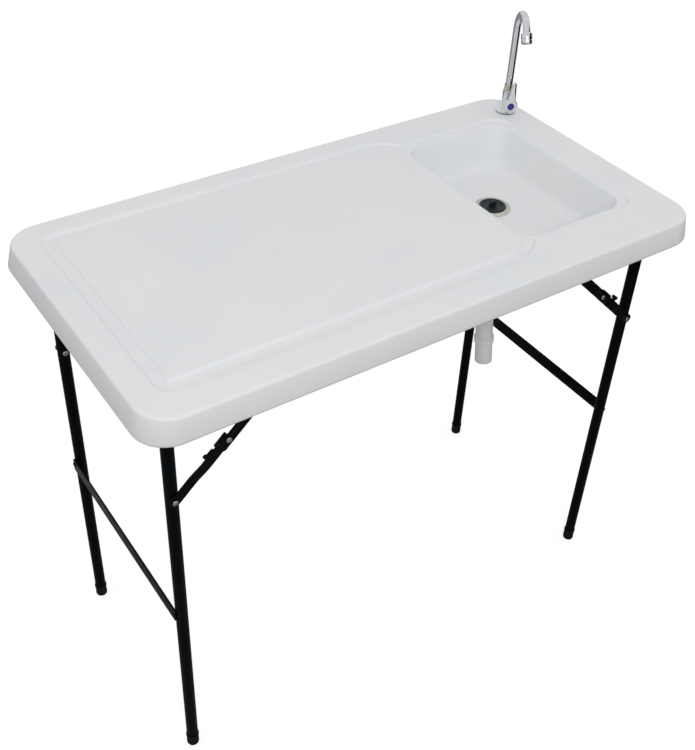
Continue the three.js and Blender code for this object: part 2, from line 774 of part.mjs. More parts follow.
// The catch: a small hooked lever that swings on a stub pin in the lower link's lug.
function lockCatch(name, side) {
  const half = catchWidth / 2;
  const near = upperLinkNear;
  const far = near + catchThickness;
  const lever = new THREE.Shape()
    .absarc(0, 0, half, -Math.PI / 2, Math.PI / 2)
    .lineTo(-catchReach + catchNose, half)
    .lineTo(-catchReach, half + catchNose)
    .lineTo(-catchReach - half, half + catchNose / 2)
    .lineTo(-catchReach, -half)
    .closePath();
  const pin = turnedAcross([[0, crankedNear], [catchPinDiameter / 2, crankedNear],
    [catchPinDiameter / 2, far - catchThickness / 2], [0, far - catchThickness / 2]], side);
  const body = joined([plate(lever, near, far, side), pin]);
  return piece(name, surface(body), blackSteel);
}

// One corner's brace, hung from its bracket at the brace's slope.
function brace(prefix, pivotLevel, side) {
  const upper = new THREE.Group();
  upper.position.set(bracketX, 0, pivotLevel + bracketPivotRise);
  upper.rotation.y = braceSlope;
  upper.add(upperLink(`${prefix}_upper_link`, side));
  const knuckle = new THREE.Group();
  knuckle.position.set(upperLinkLength, 0, 0);
  knuckle.add(lowerLink(`${prefix}_lower_link`, side), knuckleRivet(`${prefix}_knuckle_rivet`, side));
  const latch = lockCatch(`${prefix}_lock_catch`, side);
  latch.position.set(catchFromKnuckle, 0, catchOffset);
  knuckle.add(latch);
  upper.add(knuckle);
  return upper;
}

// Everything that carries one end of the table. The left end is the right one turned half round.
function tableEnd(end, pivotBelowTop) {
  const pivotLevel = tableHeight - pivotBelowTop;
  const half = new THREE.Group();
  const sense = end === 'right' ? 1 : -1;
  half.rotation.z = end === 'right' ? 0 : Math.PI;
  half.add(legFrame(end, pivotLevel), crossStrap(end));
  for (const [depth, place] of [['front', -1], ['back', 1]]) {
    const side = place * sense;
    const prefix = `${depth}_${end}`;
    half.add(
      footCap(`${prefix}_foot_cap`, side),
      saddle(`${prefix}_pivot_saddle`, pivotLevel, side),
      legRivet(`${prefix}_leg_rivet`, pivotLevel, side),
      braceBracket(`${prefix}_brace_bracket`, pivotLevel, side),
      bracketPin(`${prefix}_bracket_pin`, pivotLevel, side),
      brace(prefix, pivotLevel, side),
    );
  }
  return half;
}

// Drain: a flanged body through the sink floor, clamped from below by a nut on a gasket.
function drain() {
  const group = new THREE.Group();
  group.position.set(drainX, drainY, 0);
  const flangeRadius = drainFlangeDiameter / 2;
  const bore = drainTailRadius - drainWall;
  const low = sinkFloor + seatGap;
  const high = low + drainFlangeThickness;
  const seat = high - drainSeatDepth;
  const seatRadius = drainSeatDiameter / 2;
  const tailBottom = low - drainTailLength;
  const round = drainFlangeThickness / 2;
  const body = turned([[bore, tailBottom], [drainTailRadius, tailBottom], [drainTailRadius, low], [flangeRadius, low],
    [flangeRadius, high - round], [flangeRadius - round / 2, high - round / 4], [flangeRadius - round, high],
    [seatRadius + round, high], [seatRadius, high - round / 4], [seatRadius, seat], [bore, seat], [bore, tailBottom]]);
  group.add(piece('drain_body', body, drainPlastic));

  const under = sinkFloor - sinkWall - seatGap;
  const nutBore = drainTailRadius + seatGap;
  const gasketLow = under - gasketThickness;
  const gasket = turned([[nutBore, gasketLow], [gasketDiameter / 2, gasketLow], [gasketDiameter / 2, under],
    [nutBore, under], [nutBore, gasketLow]]);
  group.add(piece('drain_gasket', gasket, blackRubber));

  const nutHigh = gasketLow - seatGap;
  const points = [];
  for (let i = 0; i < ringSides * 2; i += 1) {
    const angle = i / (ringSides * 2) * 2 * Math.PI;
    const radius = drainNutDiameter / 2 - drainNutLobeDepth * (1 - Math.cos(drainNutLobes * angle)) / 2;
    points.push(new THREE.Vector2(radius * Math.cos(angle), radius * Math.sin(angle)));
  }
  const nutShape = new THREE.Shape(points);
  nutShape.holes.push(new THREE.Path().absarc(0, 0, nutBore, 0, 2 * Math.PI, true));
  group.add(piece('drain_nut', slab(nutShape, nutHigh - drainNutHeight, nutHigh, ringSides), drainPlastic));

  const plugLow = seat + seatGap;
  const plugHigh = plugLow + plugThickness;
  const plugRadius = seatRadius - seatGap;
  const spigot = bore - seatGap;
  const disc = turned([[0, plugLow - plugSpigotDepth], [spigot * 0.9, plugLow - plugSpigotDepth], [spigot, plugLow],
    [plugRadius, plugLow], [plugRadius, plugHigh - plugThickness / 4], [plugRadius - plugThickness / 4, plugHigh],
    [plugRadius - plugRim, plugHigh], [plugRadius - plugRim - plugThickness / 4, plugHigh - plugThickness / 4],
    [0, plugHigh - plugThickness / 4]]);
  const tabShape = new THREE.Shape()
    .moveTo(-plugTabWidth / 2, plugLow)
    .lineTo(plugTabWidth / 2, plugLow)
    .lineTo(plugTabWidth / 2, plugHigh + plugTabHeight - plugTabWidth / 4)
    .absarc(plugTabWidth / 4, plugHigh + plugTabHeight - plugTabWidth / 4, plugTabWidth / 4, 0, Math.PI / 2)
    .absarc(-plugTabWidth / 4, plugHigh + plugTabHeight - plugTabWidth / 4, plugTabWidth / 4, Math.PI / 2, Math.PI);
  const tab = plate(tabShape, -plugTabThickness / 2, plugTabThickness / 2, 1);
  group.add(piece('drain_plug', surface(joined([disc, tab])), plugPlastic));
  return group;
}

// Waste pipe: a slip nut on the drain's tail, and two pipes joined by a collar that lean together.
function wastePipe() {
  const group = new THREE.Group();
  group.position.set(drainX, drainY, 0);
  const pipeRadius = pipeDiameter / 2;
  const tailBottom = sinkFloor + seatGap - drainTailLength;
  const nutTop = tailBottom + slipNutHeight / 2;
  const nutBottom = nutTop - slipNutHeight;
  const nutBore = drainTailRadius + seatGap;
  const nutOuter = nutBore + slipNutWall;
  const tilt = Math.tan(pipeLean);
  const pipeTop = tailBottom - seatGap - pipeRadius * tilt;
  const lipBore = pipeRadius / Math.cos(pipeLean) + (pipeTop - nutBottom) * tilt + seatGap;
  const lipTop = nutBottom + slipNutLip;
  group.add(piece('slip_nut', turned([[lipBore, nutBottom], [nutOuter - slipNutWall / 2, nutBottom],
    [nutOuter, nutBottom + slipNutWall / 2], [nutOuter, nutTop - slipNutWall / 2],
    [nutOuter - slipNutWall / 2, nutTop], [nutBore, nutTop], [nutBore, lipTop + slipNutLip], [lipBore, lipTop],
    [lipBore, nutBottom]]), pipePlastic));

  const leaning = new THREE.Group();
  leaning.position.set(0, 0, pipeTop);
  leaning.rotation.x = -pipeLean;
  const bore = pipeRadius - pipeWall;
  const pipe = (name, top, length) => piece(name, turned([[bore, top - length], [pipeRadius, top - length],
    [pipeRadius, top], [bore, top], [bore, top - length]]), pipePlastic);
  leaning.add(pipe('upper_waste_pipe', 0, pipeUpperLength));
  const lowerTop = -pipeUpperLength - seatGap;
  leaning.add(pipe('lower_waste_pipe', lowerTop, pipeLowerLength));
  const collarMiddle = lowerTop + seatGap / 2;
  const collarLow = collarMiddle - collarLength / 2;
  const collarHigh = collarMiddle + collarLength / 2;
  const collarBore = pipeRadius + seatGap;
  const collarOuter = collarBore + collarWall;
  leaning.add(piece('pipe_collar', turned([[collarBore, collarLow], [collarOuter, collarLow],
    [collarOuter, collarHigh], [collarBore, collarHigh], [collarBore, collarLow]]), pipePlastic));
  group.add(leaning);
  return group;
}

// A piece that points sideways from the faucet's body: its own Z axis becomes the lever's axis.
function alongLever(geometry, height) {
  return geometry.rotateX(Math.PI / 2).rotateZ(-leverHeading).translate(0, 0, height);
}

function faucet() {
  const group = new THREE.Group();
  group.position.set(faucetX, faucetY, tableHeight + seatGap);
  const bodyRadius = faucetBodyDiameter / 2;
  const flangeRadius = faucetFlangeDiameter / 2;
  const spoutRadius = spoutDiameter / 2;
  const socket = spoutRadius + seatGap;
  const socketFloor = faucetBodyHeight - spoutSocketDepth;
  const shankBottom = -deckThickness - faucetShankLength;
  const topRadius = collarNutDiameter / 2 + spoutWall;
  const column = turned([[0, shankBottom], [faucetShankRadius, shankBottom], [faucetShankRadius, 0], [flangeRadius, 0],
    [flangeRadius, faucetFlangeHeight / 2], [flangeRadius - faucetFlangeHeight / 2, faucetFlangeHeight],
    [bodyRadius, faucetFlangeHeight], [bodyRadius, faucetBodyHeight - faucetShoulder],
    [topRadius, faucetBodyHeight], [socket, faucetBodyHeight], [socket, socketFloor], [0, socketFloor]]);
  const boss = alongLever(slab(circle(leverBossDiameter / 2), 0, leverFromAxis - seatGap, ringSides), leverAxisHeight);
  group.add(piece('faucet_body', surface(joined([column, boss])), chrome));

  const nutHigh = -deckThickness - 2 * seatGap;
  const nutShape = new THREE.Shape(hexagon(faucetNutDiameter / 2));
  nutShape.holes.push(new THREE.Path().absarc(0, 0, faucetShankRadius + seatGap, 0, 2 * Math.PI, true));
  group.add(piece('faucet_nut', slab(nutShape, nutHigh - faucetNutHeight, nutHigh), zincSteel));

  const collarLow = faucetBodyHeight + seatGap;
  const collarShape = new THREE.Shape(hexagon(collarNutDiameter / 2));
  collarShape.holes.push(new THREE.Path().absarc(0, 0, spoutRadius + seatGap, 0, 2 * Math.PI, true));
  group.add(piece('spout_collar_nut', slab(collarShape, collarLow, collarLow + collarNutHeight, ringSides), chrome));

  group.add(spout(socketFloor + seatGap), lever());
  return group;
}

function hexagon(radius) {
  const points = [];
  for (let i = 0; i < collarNutSides; i += 1) {
    const angle = i / collarNutSides * 2 * Math.PI;
    points.push(new THREE.Vector2(radius * Math.cos(angle), radius * Math.sin(angle)));
  }
  return points;
}

// The spout: a bent tube with an aerator on its end, which swivels on the faucet's upright axis.
function spout(bottom) {
  const group = new THREE.Group();
  group.rotation.z = -spoutHeading;
  const radius = spoutDiameter / 2;
  const axis = new THREE.Vector3(1, 0, 0);
  const top = new THREE.Vector3(0, 0, spoutStraight);
  const centre = new THREE.Vector3(0, -spoutBendRadius, spoutStraight);
  const arc = new Bend(centre, top, axis, spoutSweep);
  const tip = arc.getPoint(1);
  const heading = arc.getTangent(1);
  const tipEnd = tip.clone().addScaledVector(heading, spoutTip);
  const path = new BentPath([
    { curve: new THREE.LineCurve3(new THREE.Vector3(0, 0, bottom), top), steps: 1 },
    { curve: arc, steps: bendSteps + roundSteps },
    { curve: new THREE.LineCurve3(tip, tipEnd), steps: 1 },
  ]);
  group.add(piece('spout', tubeAlong(path, radius, spoutWall), chrome));

  const outer = aeratorDiameter / 2;
  const sleeve = radius + seatGap;
  const overlap = spoutTip;
  const edge = spoutWall;
  const low = overlap - aeratorLength;
  const aerator = turned([[aeratorBore / 2, low], [outer - edge, low], [outer, overlap - edge],
    [outer - edge, overlap], [sleeve, overlap], [sleeve, -seatGap], [aeratorBore / 2, -seatGap],
    [aeratorBore / 2, low]], smallSides * 2);
  const end = piece('spout_aerator', aerator, chrome);
  end.position.copy(tipEnd);
  end.quaternion.setFromUnitVectors(new THREE.Vector3(0, 0, -1), heading);
  group.add(end);
  return group;
}

// The lever: a hub across the body's boss, with a tapered blade that stands up, and an index cap.
function lever() {
  const group = new THREE.Group();
  const hub = leverHubDiameter / 2;
  const root = leverRootWidth / 2;
  const tip = leverTipWidth / 2;
  const blade = new THREE.Shape()
    .moveTo(-root, 0)
    .lineTo(root, 0)
    .absarc(0, leverReach - tip, tip, 0, Math.PI);
  const far = leverFromAxis + leverHubLength;
  const geometry = surface(joined([
    slab(circle(hub), leverFromAxis, far, ringSides),
    slab(blade, far - leverBladeThickness, far).rotateZ(-leverTilt),
  ]));
  group.add(piece('faucet_lever', alongLever(geometry, leverAxisHeight), chrome));
  const cap = slab(circle(indexCapDiameter / 2), far + seatGap, far + seatGap + indexCapHeight, ringSides);
  group.add(piece('index_cap', alongLever(cap, leverAxisHeight), bluePlastic));
  return group;
}

const group = new THREE.Group();
group.add(
  tabletop(),
  tableEnd('left', leftPivotBelowTop),
  tableEnd('right', rightPivotBelowTop),
  drain(),
  wastePipe(),
  faucet(),
);

export default group;
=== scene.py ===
# %% [markdown]
# The looks of a folding fish cleaning table: a white moulded top with a juice groove and a sink, a chrome
# faucet, black folding legs and a drain. The working solids come packed as a fixed frame, and each visible
# piece here is either one of them with a finish, or a finer mesh that stands in its place.

# %% Load the fixed frame
import json
import math

import bmesh
import bpy
import numpy as np
from mathutils import Matrix, Vector
from mathutils.geometry import delaunay_2d_cdt


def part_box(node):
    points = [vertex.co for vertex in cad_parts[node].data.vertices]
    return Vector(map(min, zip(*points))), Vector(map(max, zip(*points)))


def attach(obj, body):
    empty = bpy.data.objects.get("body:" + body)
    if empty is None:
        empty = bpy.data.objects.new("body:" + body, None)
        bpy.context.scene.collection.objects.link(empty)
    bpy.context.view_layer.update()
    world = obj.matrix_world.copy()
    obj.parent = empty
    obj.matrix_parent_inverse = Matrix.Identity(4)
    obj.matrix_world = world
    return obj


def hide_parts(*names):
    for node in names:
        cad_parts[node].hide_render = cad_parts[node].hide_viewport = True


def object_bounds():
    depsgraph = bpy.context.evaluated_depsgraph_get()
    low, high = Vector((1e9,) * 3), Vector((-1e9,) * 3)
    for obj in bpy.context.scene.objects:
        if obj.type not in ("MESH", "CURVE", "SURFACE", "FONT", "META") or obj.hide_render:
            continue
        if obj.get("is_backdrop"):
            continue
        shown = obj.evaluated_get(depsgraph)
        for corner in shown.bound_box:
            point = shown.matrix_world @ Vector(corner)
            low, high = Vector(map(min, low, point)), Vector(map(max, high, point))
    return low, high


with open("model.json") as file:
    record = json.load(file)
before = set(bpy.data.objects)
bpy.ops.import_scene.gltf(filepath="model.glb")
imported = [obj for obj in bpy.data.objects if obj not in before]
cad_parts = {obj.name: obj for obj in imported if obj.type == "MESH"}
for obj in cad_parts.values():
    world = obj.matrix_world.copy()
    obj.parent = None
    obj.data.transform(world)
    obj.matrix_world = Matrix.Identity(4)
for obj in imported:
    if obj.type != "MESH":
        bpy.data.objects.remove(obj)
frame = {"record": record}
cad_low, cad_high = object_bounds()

mm = 0.001
# The gap between pieces that slide together, a gap too small to see, and how near points are made one.
fit = 0.3 * mm
hair = 0.05 * mm
weld_distance = 0.002 * mm
body_of = {node: body for body, nodes in frame["record"]["behaviour"]["bodies"].items() for node in nodes}
print("nodes", len(body_of), "size", [round(side, 3) for side in cad_high - cad_low])

# %% [markdown]
# A finish is a small network of nodes. What several finishes share goes into a node group: a mottle of two
# tones, a fine grain that stands up from the surface, a mask of edges for wear and a painted highlight, and
# a wiped gloss. Each group puts out only a colour or a value, and every material keeps its own shader.


# %% Node group helpers
def shader_group(name, inputs, outputs):
    """An empty node group with named sockets. Each input is a name, a kind and a value."""
    tree = bpy.data.node_groups.new(name, "ShaderNodeTree")
    for label, kind, value in inputs:
        tree.interface.new_socket(label, in_out="INPUT", socket_type=kind).default_value = value
    for label, kind in outputs:
        tree.interface.new_socket(label, in_out="OUTPUT", socket_type=kind)
    return tree, tree.nodes.new("NodeGroupInput"), tree.nodes.new("NodeGroupOutput")


def noise(tree, scale, detail):
    """A noise texture on Object coordinates, with its scale from a socket or a number."""
    place = tree.nodes.new("ShaderNodeTexCoord")
    texture = tree.nodes.new("ShaderNodeTexNoise")
    texture.inputs["Detail"].default_value = detail
    tree.links.new(place.outputs["Object"], texture.inputs["Vector"])
    if isinstance(scale, bpy.types.NodeSocket):
        tree.links.new(scale, texture.inputs["Scale"])
    else:
        texture.inputs["Scale"].default_value = scale
    return texture.outputs["Fac"]


def spread(tree, value, low, high, to_low, to_high):
    """Stretch a value from one range to another."""
    node = tree.nodes.new("ShaderNodeMapRange")
    tree.links.new(value, node.inputs["Value"])
    settings = {"From Min": low, "From Max": high, "To Min": to_low, "To Max": to_high}
    for label, setting in settings.items():
        if isinstance(setting, bpy.types.NodeSocket):
            tree.links.new(setting, node.inputs[label])
        else:
            node.inputs[label].default_value = setting
    return node.outputs["Result"]


# %% Mottle: two tones of one colour in soft patches
colour_kind, value_kind = "NodeSocketColor", "NodeSocketFloat"
grey = (0.5, 0.5, 0.5, 1)
mottle, given, result = shader_group(
    "Mottle", [("Light", colour_kind, grey), ("Dark", colour_kind, grey), ("Scale", value_kind, 10)],
    [("Colour", colour_kind)])
patch = spread(mottle, noise(mottle, given.outputs["Scale"], 4), 0.35, 0.65, 0, 1)
mix = mottle.nodes.new("ShaderNodeMix")
mix.data_type = "RGBA"
mottle.links.new(patch, mix.inputs["Factor"])
mottle.links.new(given.outputs["Light"], mix.inputs["A"])
mottle.links.new(given.outputs["Dark"], mix.inputs["B"])
mottle.links.new(mix.outputs["Result"], result.inputs["Colour"])
print("mottle nodes", len(mottle.nodes))

# %% Grain: the height of a fine texture with slow waves under it
grain, given, result = shader_group(
    "Grain", [("Scale", value_kind, 900), ("Wave Scale", value_kind, 9), ("Wave Height", value_kind, 0.5)],
    [("Height", value_kind)])
fine = noise(grain, given.outputs["Scale"], 2)
slow = noise(grain, given.outputs["Wave Scale"], 1)
lift = grain.nodes.new("ShaderNodeMath")
lift.operation = "MULTIPLY_ADD"
grain.links.new(slow, lift.inputs[0])
grain.links.new(given.outputs["Wave Height"], lift.inputs[1])
grain.links.new(fine, lift.inputs[2])
grain.links.new(lift.outputs["Value"], result.inputs["Height"])
print("grain nodes", len(grain.nodes))

# %% Edge mask for wear and a painted highlight: where a rounded normal leaves the true one, broken up by noise
wear_and_sheen, given, result = shader_group(
    "Edge wear and painted sheen", [("Width", value_kind, mm), ("Amount", value_kind, 0.5)], [("Mask", value_kind)])
rounded = wear_and_sheen.nodes.new("ShaderNodeBevel")
true_normal = wear_and_sheen.nodes.new("ShaderNodeNewGeometry")
facing = wear_and_sheen.nodes.new("ShaderNodeVectorMath")
facing.operation = "DOT_PRODUCT"
wear_and_sheen.links.new(given.outputs["Width"], rounded.inputs["Radius"])
wear_and_sheen.links.new(rounded.outputs["Normal"], facing.inputs[0])
wear_and_sheen.links.new(true_normal.outputs["Normal"], facing.inputs[1])
edge = spread(wear_and_sheen, facing.outputs["Value"], 0.999, 0.9, 0, given.outputs["Amount"])
broken = wear_and_sheen.nodes.new("ShaderNodeMath")
broken.operation = "MULTIPLY"
wear_and_sheen.links.new(edge, broken.inputs[0])
wear_and_sheen.links.new(spread(wear_and_sheen, noise(wear_and_sheen, 260, 3), 0.42, 0.62, 0, 1), broken.inputs[1])
wear_and_sheen.links.new(broken.outputs["Value"], result.inputs["Mask"])
print("wear nodes", len(wear_and_sheen.nodes))

# %% Wiped gloss: roughness between two values
wiped, given, result = shader_group(
    "Wiped gloss", [("Low", value_kind, 0.2), ("High", value_kind, 0.4), ("Scale", value_kind, 30)],
    [("Roughness", value_kind)])
gloss = spread(wiped, noise(wiped, given.outputs["Scale"], 5), 0.3, 0.7,
               given.outputs["Low"], given.outputs["High"])
wiped.links.new(gloss, result.inputs["Roughness"])
print("gloss nodes", len(wiped.nodes))

# %% [markdown]
# One function makes every finish from those groups. A finish says its two tones, its gloss, how high its
# grain stands, how much wear and painted highlight its edges get and what colour shows there. Values that
# don't vary over the surface are set on the shader itself, because an exported model keeps them there.

# %% One finish from the groups
wear_and_sheen_width = 0.8 * mm
mirror_grain, gloss_grain, zinc_grain, paint_grain, rubber_grain, moulded_grain = (
    height * mm for height in (0.01, 0.03, 0.04, 0.05, 0.1, 0.12))


def finish(name, light, dark, scale, gloss, metallic=0.0, grain_height=paint_grain, grain_scale=900,
           wave_height=0.0, worn=0.0, bare_and_sheen=(0.5, 0.5, 0.5), specular=0.5, coat=0.0):
    material = bpy.data.materials.new(name)
    material.use_nodes = True
    tree = material.node_tree
    shader = tree.nodes["Principled BSDF"]
    shader.inputs["Metallic"].default_value = metallic
    shader.inputs["Specular IOR Level"].default_value = specular
    shader.inputs["Coat Weight"].default_value = coat

    def use(group, values):
        node = tree.nodes.new("ShaderNodeGroup")
        node.node_tree = group
        for label, value in values.items():
            node.inputs[label].default_value = value
        return node.outputs[0]

    colour = use(mottle, {"Light": (*light, 1), "Dark": (*dark, 1), "Scale": scale})
    # Edges are mixed towards another colour: real wear, and on the black steel and the plug also a painted
    # highlight.
    if worn > 0:
        blend = tree.nodes.new("ShaderNodeMix")
        blend.data_type = "RGBA"
        blend.inputs["B"].default_value = (*bare_and_sheen, 1)
        tree.links.new(use(wear_and_sheen, {"Width": wear_and_sheen_width, "Amount": worn}), blend.inputs["Factor"])
        tree.links.new(colour, blend.inputs["A"])
        colour = blend.outputs["Result"]
    tree.links.new(colour, shader.inputs["Base Color"])
    tree.links.new(use(wiped, {"Low": gloss[0], "High": gloss[1], "Scale": scale * 3}),
                   shader.inputs["Roughness"])
    bump = tree.nodes.new("ShaderNodeBump")
    bump.inputs["Distance"].default_value = grain_height
    tree.links.new(use(grain, {"Scale": grain_scale, "Wave Scale": scale, "Wave Height": wave_height}),
                   bump.inputs["Height"])
    tree.links.new(bump.outputs["Normal"], shader.inputs["Normal"])
    return material


# %% The finishes: one for each slot of the record, a glossier black and a worn chrome
finishes = {
    "moulded_top": finish("white moulded plastic", (0.835, 0.84, 0.845), (0.81, 0.82, 0.83), 7,
                          (0.42, 0.55), grain_height=moulded_grain, grain_scale=520, wave_height=3.0,
                          specular=0.4),
    # Lighter bluish edges here: partly wear, partly a painted highlight on the rounded edges.
    "black_steel": finish("black painted steel", (0.0018, 0.0026, 0.0032), (0.0034, 0.0046, 0.0058), 40,
                          (0.26, 0.4), grain_height=paint_grain, grain_scale=700, worn=0.25,
                          bare_and_sheen=(0.04, 0.045, 0.05), specular=0.06),
    "black_tube": finish("gloss black tube", (0.0012, 0.0022, 0.003), (0.002, 0.0034, 0.0045), 18,
                         (0.2, 0.34), grain_height=gloss_grain, grain_scale=500, specular=0.05),
    "zinc_steel": finish("zinc plated steel", (0.62, 0.63, 0.64), (0.42, 0.43, 0.45), 160, (0.2, 0.42),
                         metallic=1.0, grain_height=zinc_grain, grain_scale=1500),
    "black_rubber": finish("black rubber", (0.005, 0.005, 0.005), (0.01, 0.01, 0.01), 60, (0.55, 0.8),
                           grain_height=rubber_grain, grain_scale=1300, specular=0.15),
    "pipe_plastic": finish("drain pipe plastic", (0.80, 0.795, 0.78), (0.75, 0.745, 0.73), 22, (0.3, 0.45),
                           grain_height=paint_grain, wave_height=1.5),
    "drain_plastic": finish("cream drain plastic", (0.62, 0.61, 0.55), (0.50, 0.49, 0.43), 50, (0.35, 0.5)),
    # Lighter grey-teal edges here: partly wear, partly a painted highlight.
    "plug_plastic": finish("dark plug plastic", (0.010, 0.020, 0.023), (0.005, 0.010, 0.012), 70, (0.3, 0.5),
                           worn=0.25, bare_and_sheen=(0.05, 0.06, 0.065), specular=0.3),
    "chrome": finish("polished chrome", (0.84, 0.85, 0.86), (0.76, 0.77, 0.79), 45, (0.03, 0.08),
                     metallic=1.0, grain_height=mirror_grain, grain_scale=300),
    "worn_chrome": finish("chrome worn to brass", (0.76, 0.72, 0.62), (0.5, 0.4, 0.24), 90, (0.05, 0.15),
                          metallic=1.0, grain_height=mirror_grain, grain_scale=300, worn=0.9,
                          bare_and_sheen=(0.36, 0.24, 0.10)),
    "blue_plastic": finish("blue index plastic", (0.010, 0.005, 0.19), (0.016, 0.009, 0.25), 90, (0.12, 0.2),
                           coat=0.2),
}
print("finishes", len(finishes))

# %% [markdown]
# Three helpers shape most pieces. `soften` rounds the corners of a drawn line, because no moulded, pressed
# or turned edge is perfectly sharp, and a rounded edge is what catches the light. `turned` spins a profile
# round an axis, and `pressed` gives a flat outline its thickness.


# %% Round the corners of a line
def soften(points, radii, steps=5, closed=False):
    """Points of a line whose corners are arcs. A radius of zero keeps a corner."""
    points = [Vector(point) for point in points]
    radii = radii if isinstance(radii, (list, tuple)) else [radii] * len(points)
    line = []
    for i, (corner, radius) in enumerate(zip(points, radii)):
        end = not closed and i in (0, len(points) - 1)
        back = points[i - 1] - corner
        ahead = points[(i + 1) % len(points)] - corner
        opening = 0 if end else back.angle(ahead, math.pi)
        if end or radius == 0 or opening > math.pi - 0.01:
            line.append(tuple(corner))
            continue
        cut = min(radius / math.tan(opening / 2), 0.49 * min(back.length, ahead.length))
        start = corner + back.normalized() * cut
        stop = corner + ahead.normalized() * cut
        middle = corner + (back.normalized() + ahead.normalized()).normalized() * cut / math.cos(opening / 2)
        first = math.atan2(start.y - middle.y, start.x - middle.x)
        turn = math.remainder(math.atan2(stop.y - middle.y, stop.x - middle.x) - first, 2 * math.pi)
        reach = (start - middle).length
        for step in range(steps + 1):
            angle = first + turn * step / steps
            line.append((middle.x + reach * math.cos(angle), middle.y + reach * math.sin(angle)))
    return line


def circle(radius, steps=48, x=0.0, y=0.0):
    return [(x + radius * math.cos(2 * math.pi * i / steps), y + radius * math.sin(2 * math.pi * i / steps))
            for i in range(steps)]


# %% Settle a mesh, make it a piece and dress it
smooth_angle = math.radians(38)


def settle(mesh, place=None):
    """Move a mesh to its place, weld it and smooth it up to the sharp edges."""
    if place is not None:
        mesh.transform(place)
        if place.determinant() < 0:
            mesh.flip_normals()
    shape = bmesh.new()
    shape.from_mesh(mesh)
    bmesh.ops.remove_doubles(shape, verts=shape.verts, dist=weld_distance)
    loose = sum(1 for edge in shape.edges if len(edge.link_faces) != 2)
    shape.to_mesh(mesh)
    shape.free()
    mesh.shade_smooth()
    mesh.set_sharp_from_angle(angle=smooth_angle)
    return loose


def make_piece(name, mesh, place=None):
    """An object at the origin, because its place is in its mesh."""
    loose = settle(mesh, place)
    piece = bpy.data.objects.new(name, mesh)
    bpy.context.scene.collection.objects.link(piece)
    if loose:
        print("open edges", name, loose)
    return piece


def dress(piece, node, slot, stands_for=True, look=None):
    """Give a piece its finish and its body, and let it stand for a solid of the frame."""
    piece.data.materials.clear()
    piece.data.materials.append(finishes[look or slot])
    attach(piece, body_of[node])
    if stands_for:
        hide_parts(node)
    return piece


# %% Turned shapes
def turned(name, profile, steps=48, wave=None):
    """A mesh spun round Z. The profile is radius and height pairs, up its outer side; wave changes a radius
    by its angle."""
    closed = profile[0] == profile[-1]
    rings = profile[:-1] if closed else profile
    vertices, index = [], []
    for radius, height in rings:
        count = 1 if radius < 1e-9 else steps
        index.append([len(vertices) + i % count for i in range(steps)])
        for i in range(count):
            angle = 2 * math.pi * i / steps
            reach = radius if wave is None else radius + wave(radius, height, angle)
            vertices.append((reach * math.cos(angle), reach * math.sin(angle), height))
    faces = []
    for low, high in list(zip(index, index[1:])) + ([(index[-1], index[0])] if closed else []):
        for i in range(steps):
            j = (i + 1) % steps
            corners = list(dict.fromkeys([low[i], low[j], high[j], high[i]]))
            if len(corners) > 2:
                faces.append(corners)
    mesh = bpy.data.meshes.new(name)
    mesh.from_pydata(vertices, [], faces)
    return mesh


# %% The profile of a domed head
hole_radius = 2 * mm
rim_share = 0.25


def dome(radius, height, base, hole_depth=0.0, steps=6):
    """Points from the rim of a head to its crown, or into the blind hole in its middle."""
    line = [(radius, base), (radius, base + height * rim_share)]
    last = math.acos(hole_radius / radius) if hole_depth else math.pi / 2
    for step in range(1, steps + (1 if hole_depth else 0)):
        angle = last * step / steps
        line.append((radius * math.cos(angle),
                     base + height * (rim_share + (1 - rim_share) * math.sin(angle))))
    if hole_depth:
        line.append((hole_radius * 0.9, base + height - hole_depth))
    return line + [(0, base + height - hole_depth)]


# %% Pressed shapes
def pressed(name, outline, holes, low, high, edge):
    """A flat outline with holes, thick from low to high, its edges rounded. A filled curve makes it."""
    curve = bpy.data.curves.new(name, "CURVE")
    curve.dimensions = "2D"
    curve.fill_mode = "BOTH"
    curve.extrude = (high - low) / 2 - edge
    curve.bevel_depth = edge
    curve.bevel_resolution = 2
    curve.offset = -edge
    for loop in [outline] + holes:
        spline = curve.splines.new("POLY")
        spline.points.add(len(loop) - 1)
        for point, (x, y) in zip(spline.points, loop):
            point.co = (x, y, 0, 1)
        spline.use_cyclic_u = True
    holder = bpy.data.objects.new(name, curve)
    mesh = bpy.data.meshes.new_from_object(holder)
    bpy.data.objects.remove(holder)
    bpy.data.curves.remove(curve)
    mesh.transform(Matrix.Translation((0, 0, (low + high) / 2)))
    shape = bmesh.new()
    shape.from_mesh(mesh)
    bmesh.ops.remove_doubles(shape, verts=shape.verts, dist=weld_distance)
    bmesh.ops.recalc_face_normals(shape, faces=shape.faces)
    shape.to_mesh(mesh)
    shape.free()
    return mesh


def united(name, meshes):
    """Several closed meshes as one, joined by the Boolean modifier."""
    holders = [bpy.data.objects.new(name, mesh) for mesh in meshes]
    for holder in holders:
        bpy.context.scene.collection.objects.link(holder)
    for other in holders[1:]:
        union = holders[0].modifiers.new("Join", "BOOLEAN")
        union.operation = "UNION"
        union.object = other
    evaluated = holders[0].evaluated_get(bpy.context.evaluated_depsgraph_get())
    mesh = bpy.data.meshes.new_from_object(evaluated)
    for holder in holders:
        bpy.data.objects.remove(holder)
    return mesh


# %% [markdown]
# The top is the main piece. It is blow moulded, so every edge of it is soft. Its upper side is a landscape:
# at each point one height, worked out from how far the point lies inside the groove and the sink. A grid
# with close lines where the shape turns and wide ones where it is flat carries those heights. The skirt,
# the rim and the underside are rings and flat fills, welded to the grid into one closed shell. It could
# also be sculpted or subdivided, but heights from a rule keep the groove and the sink at their sizes.

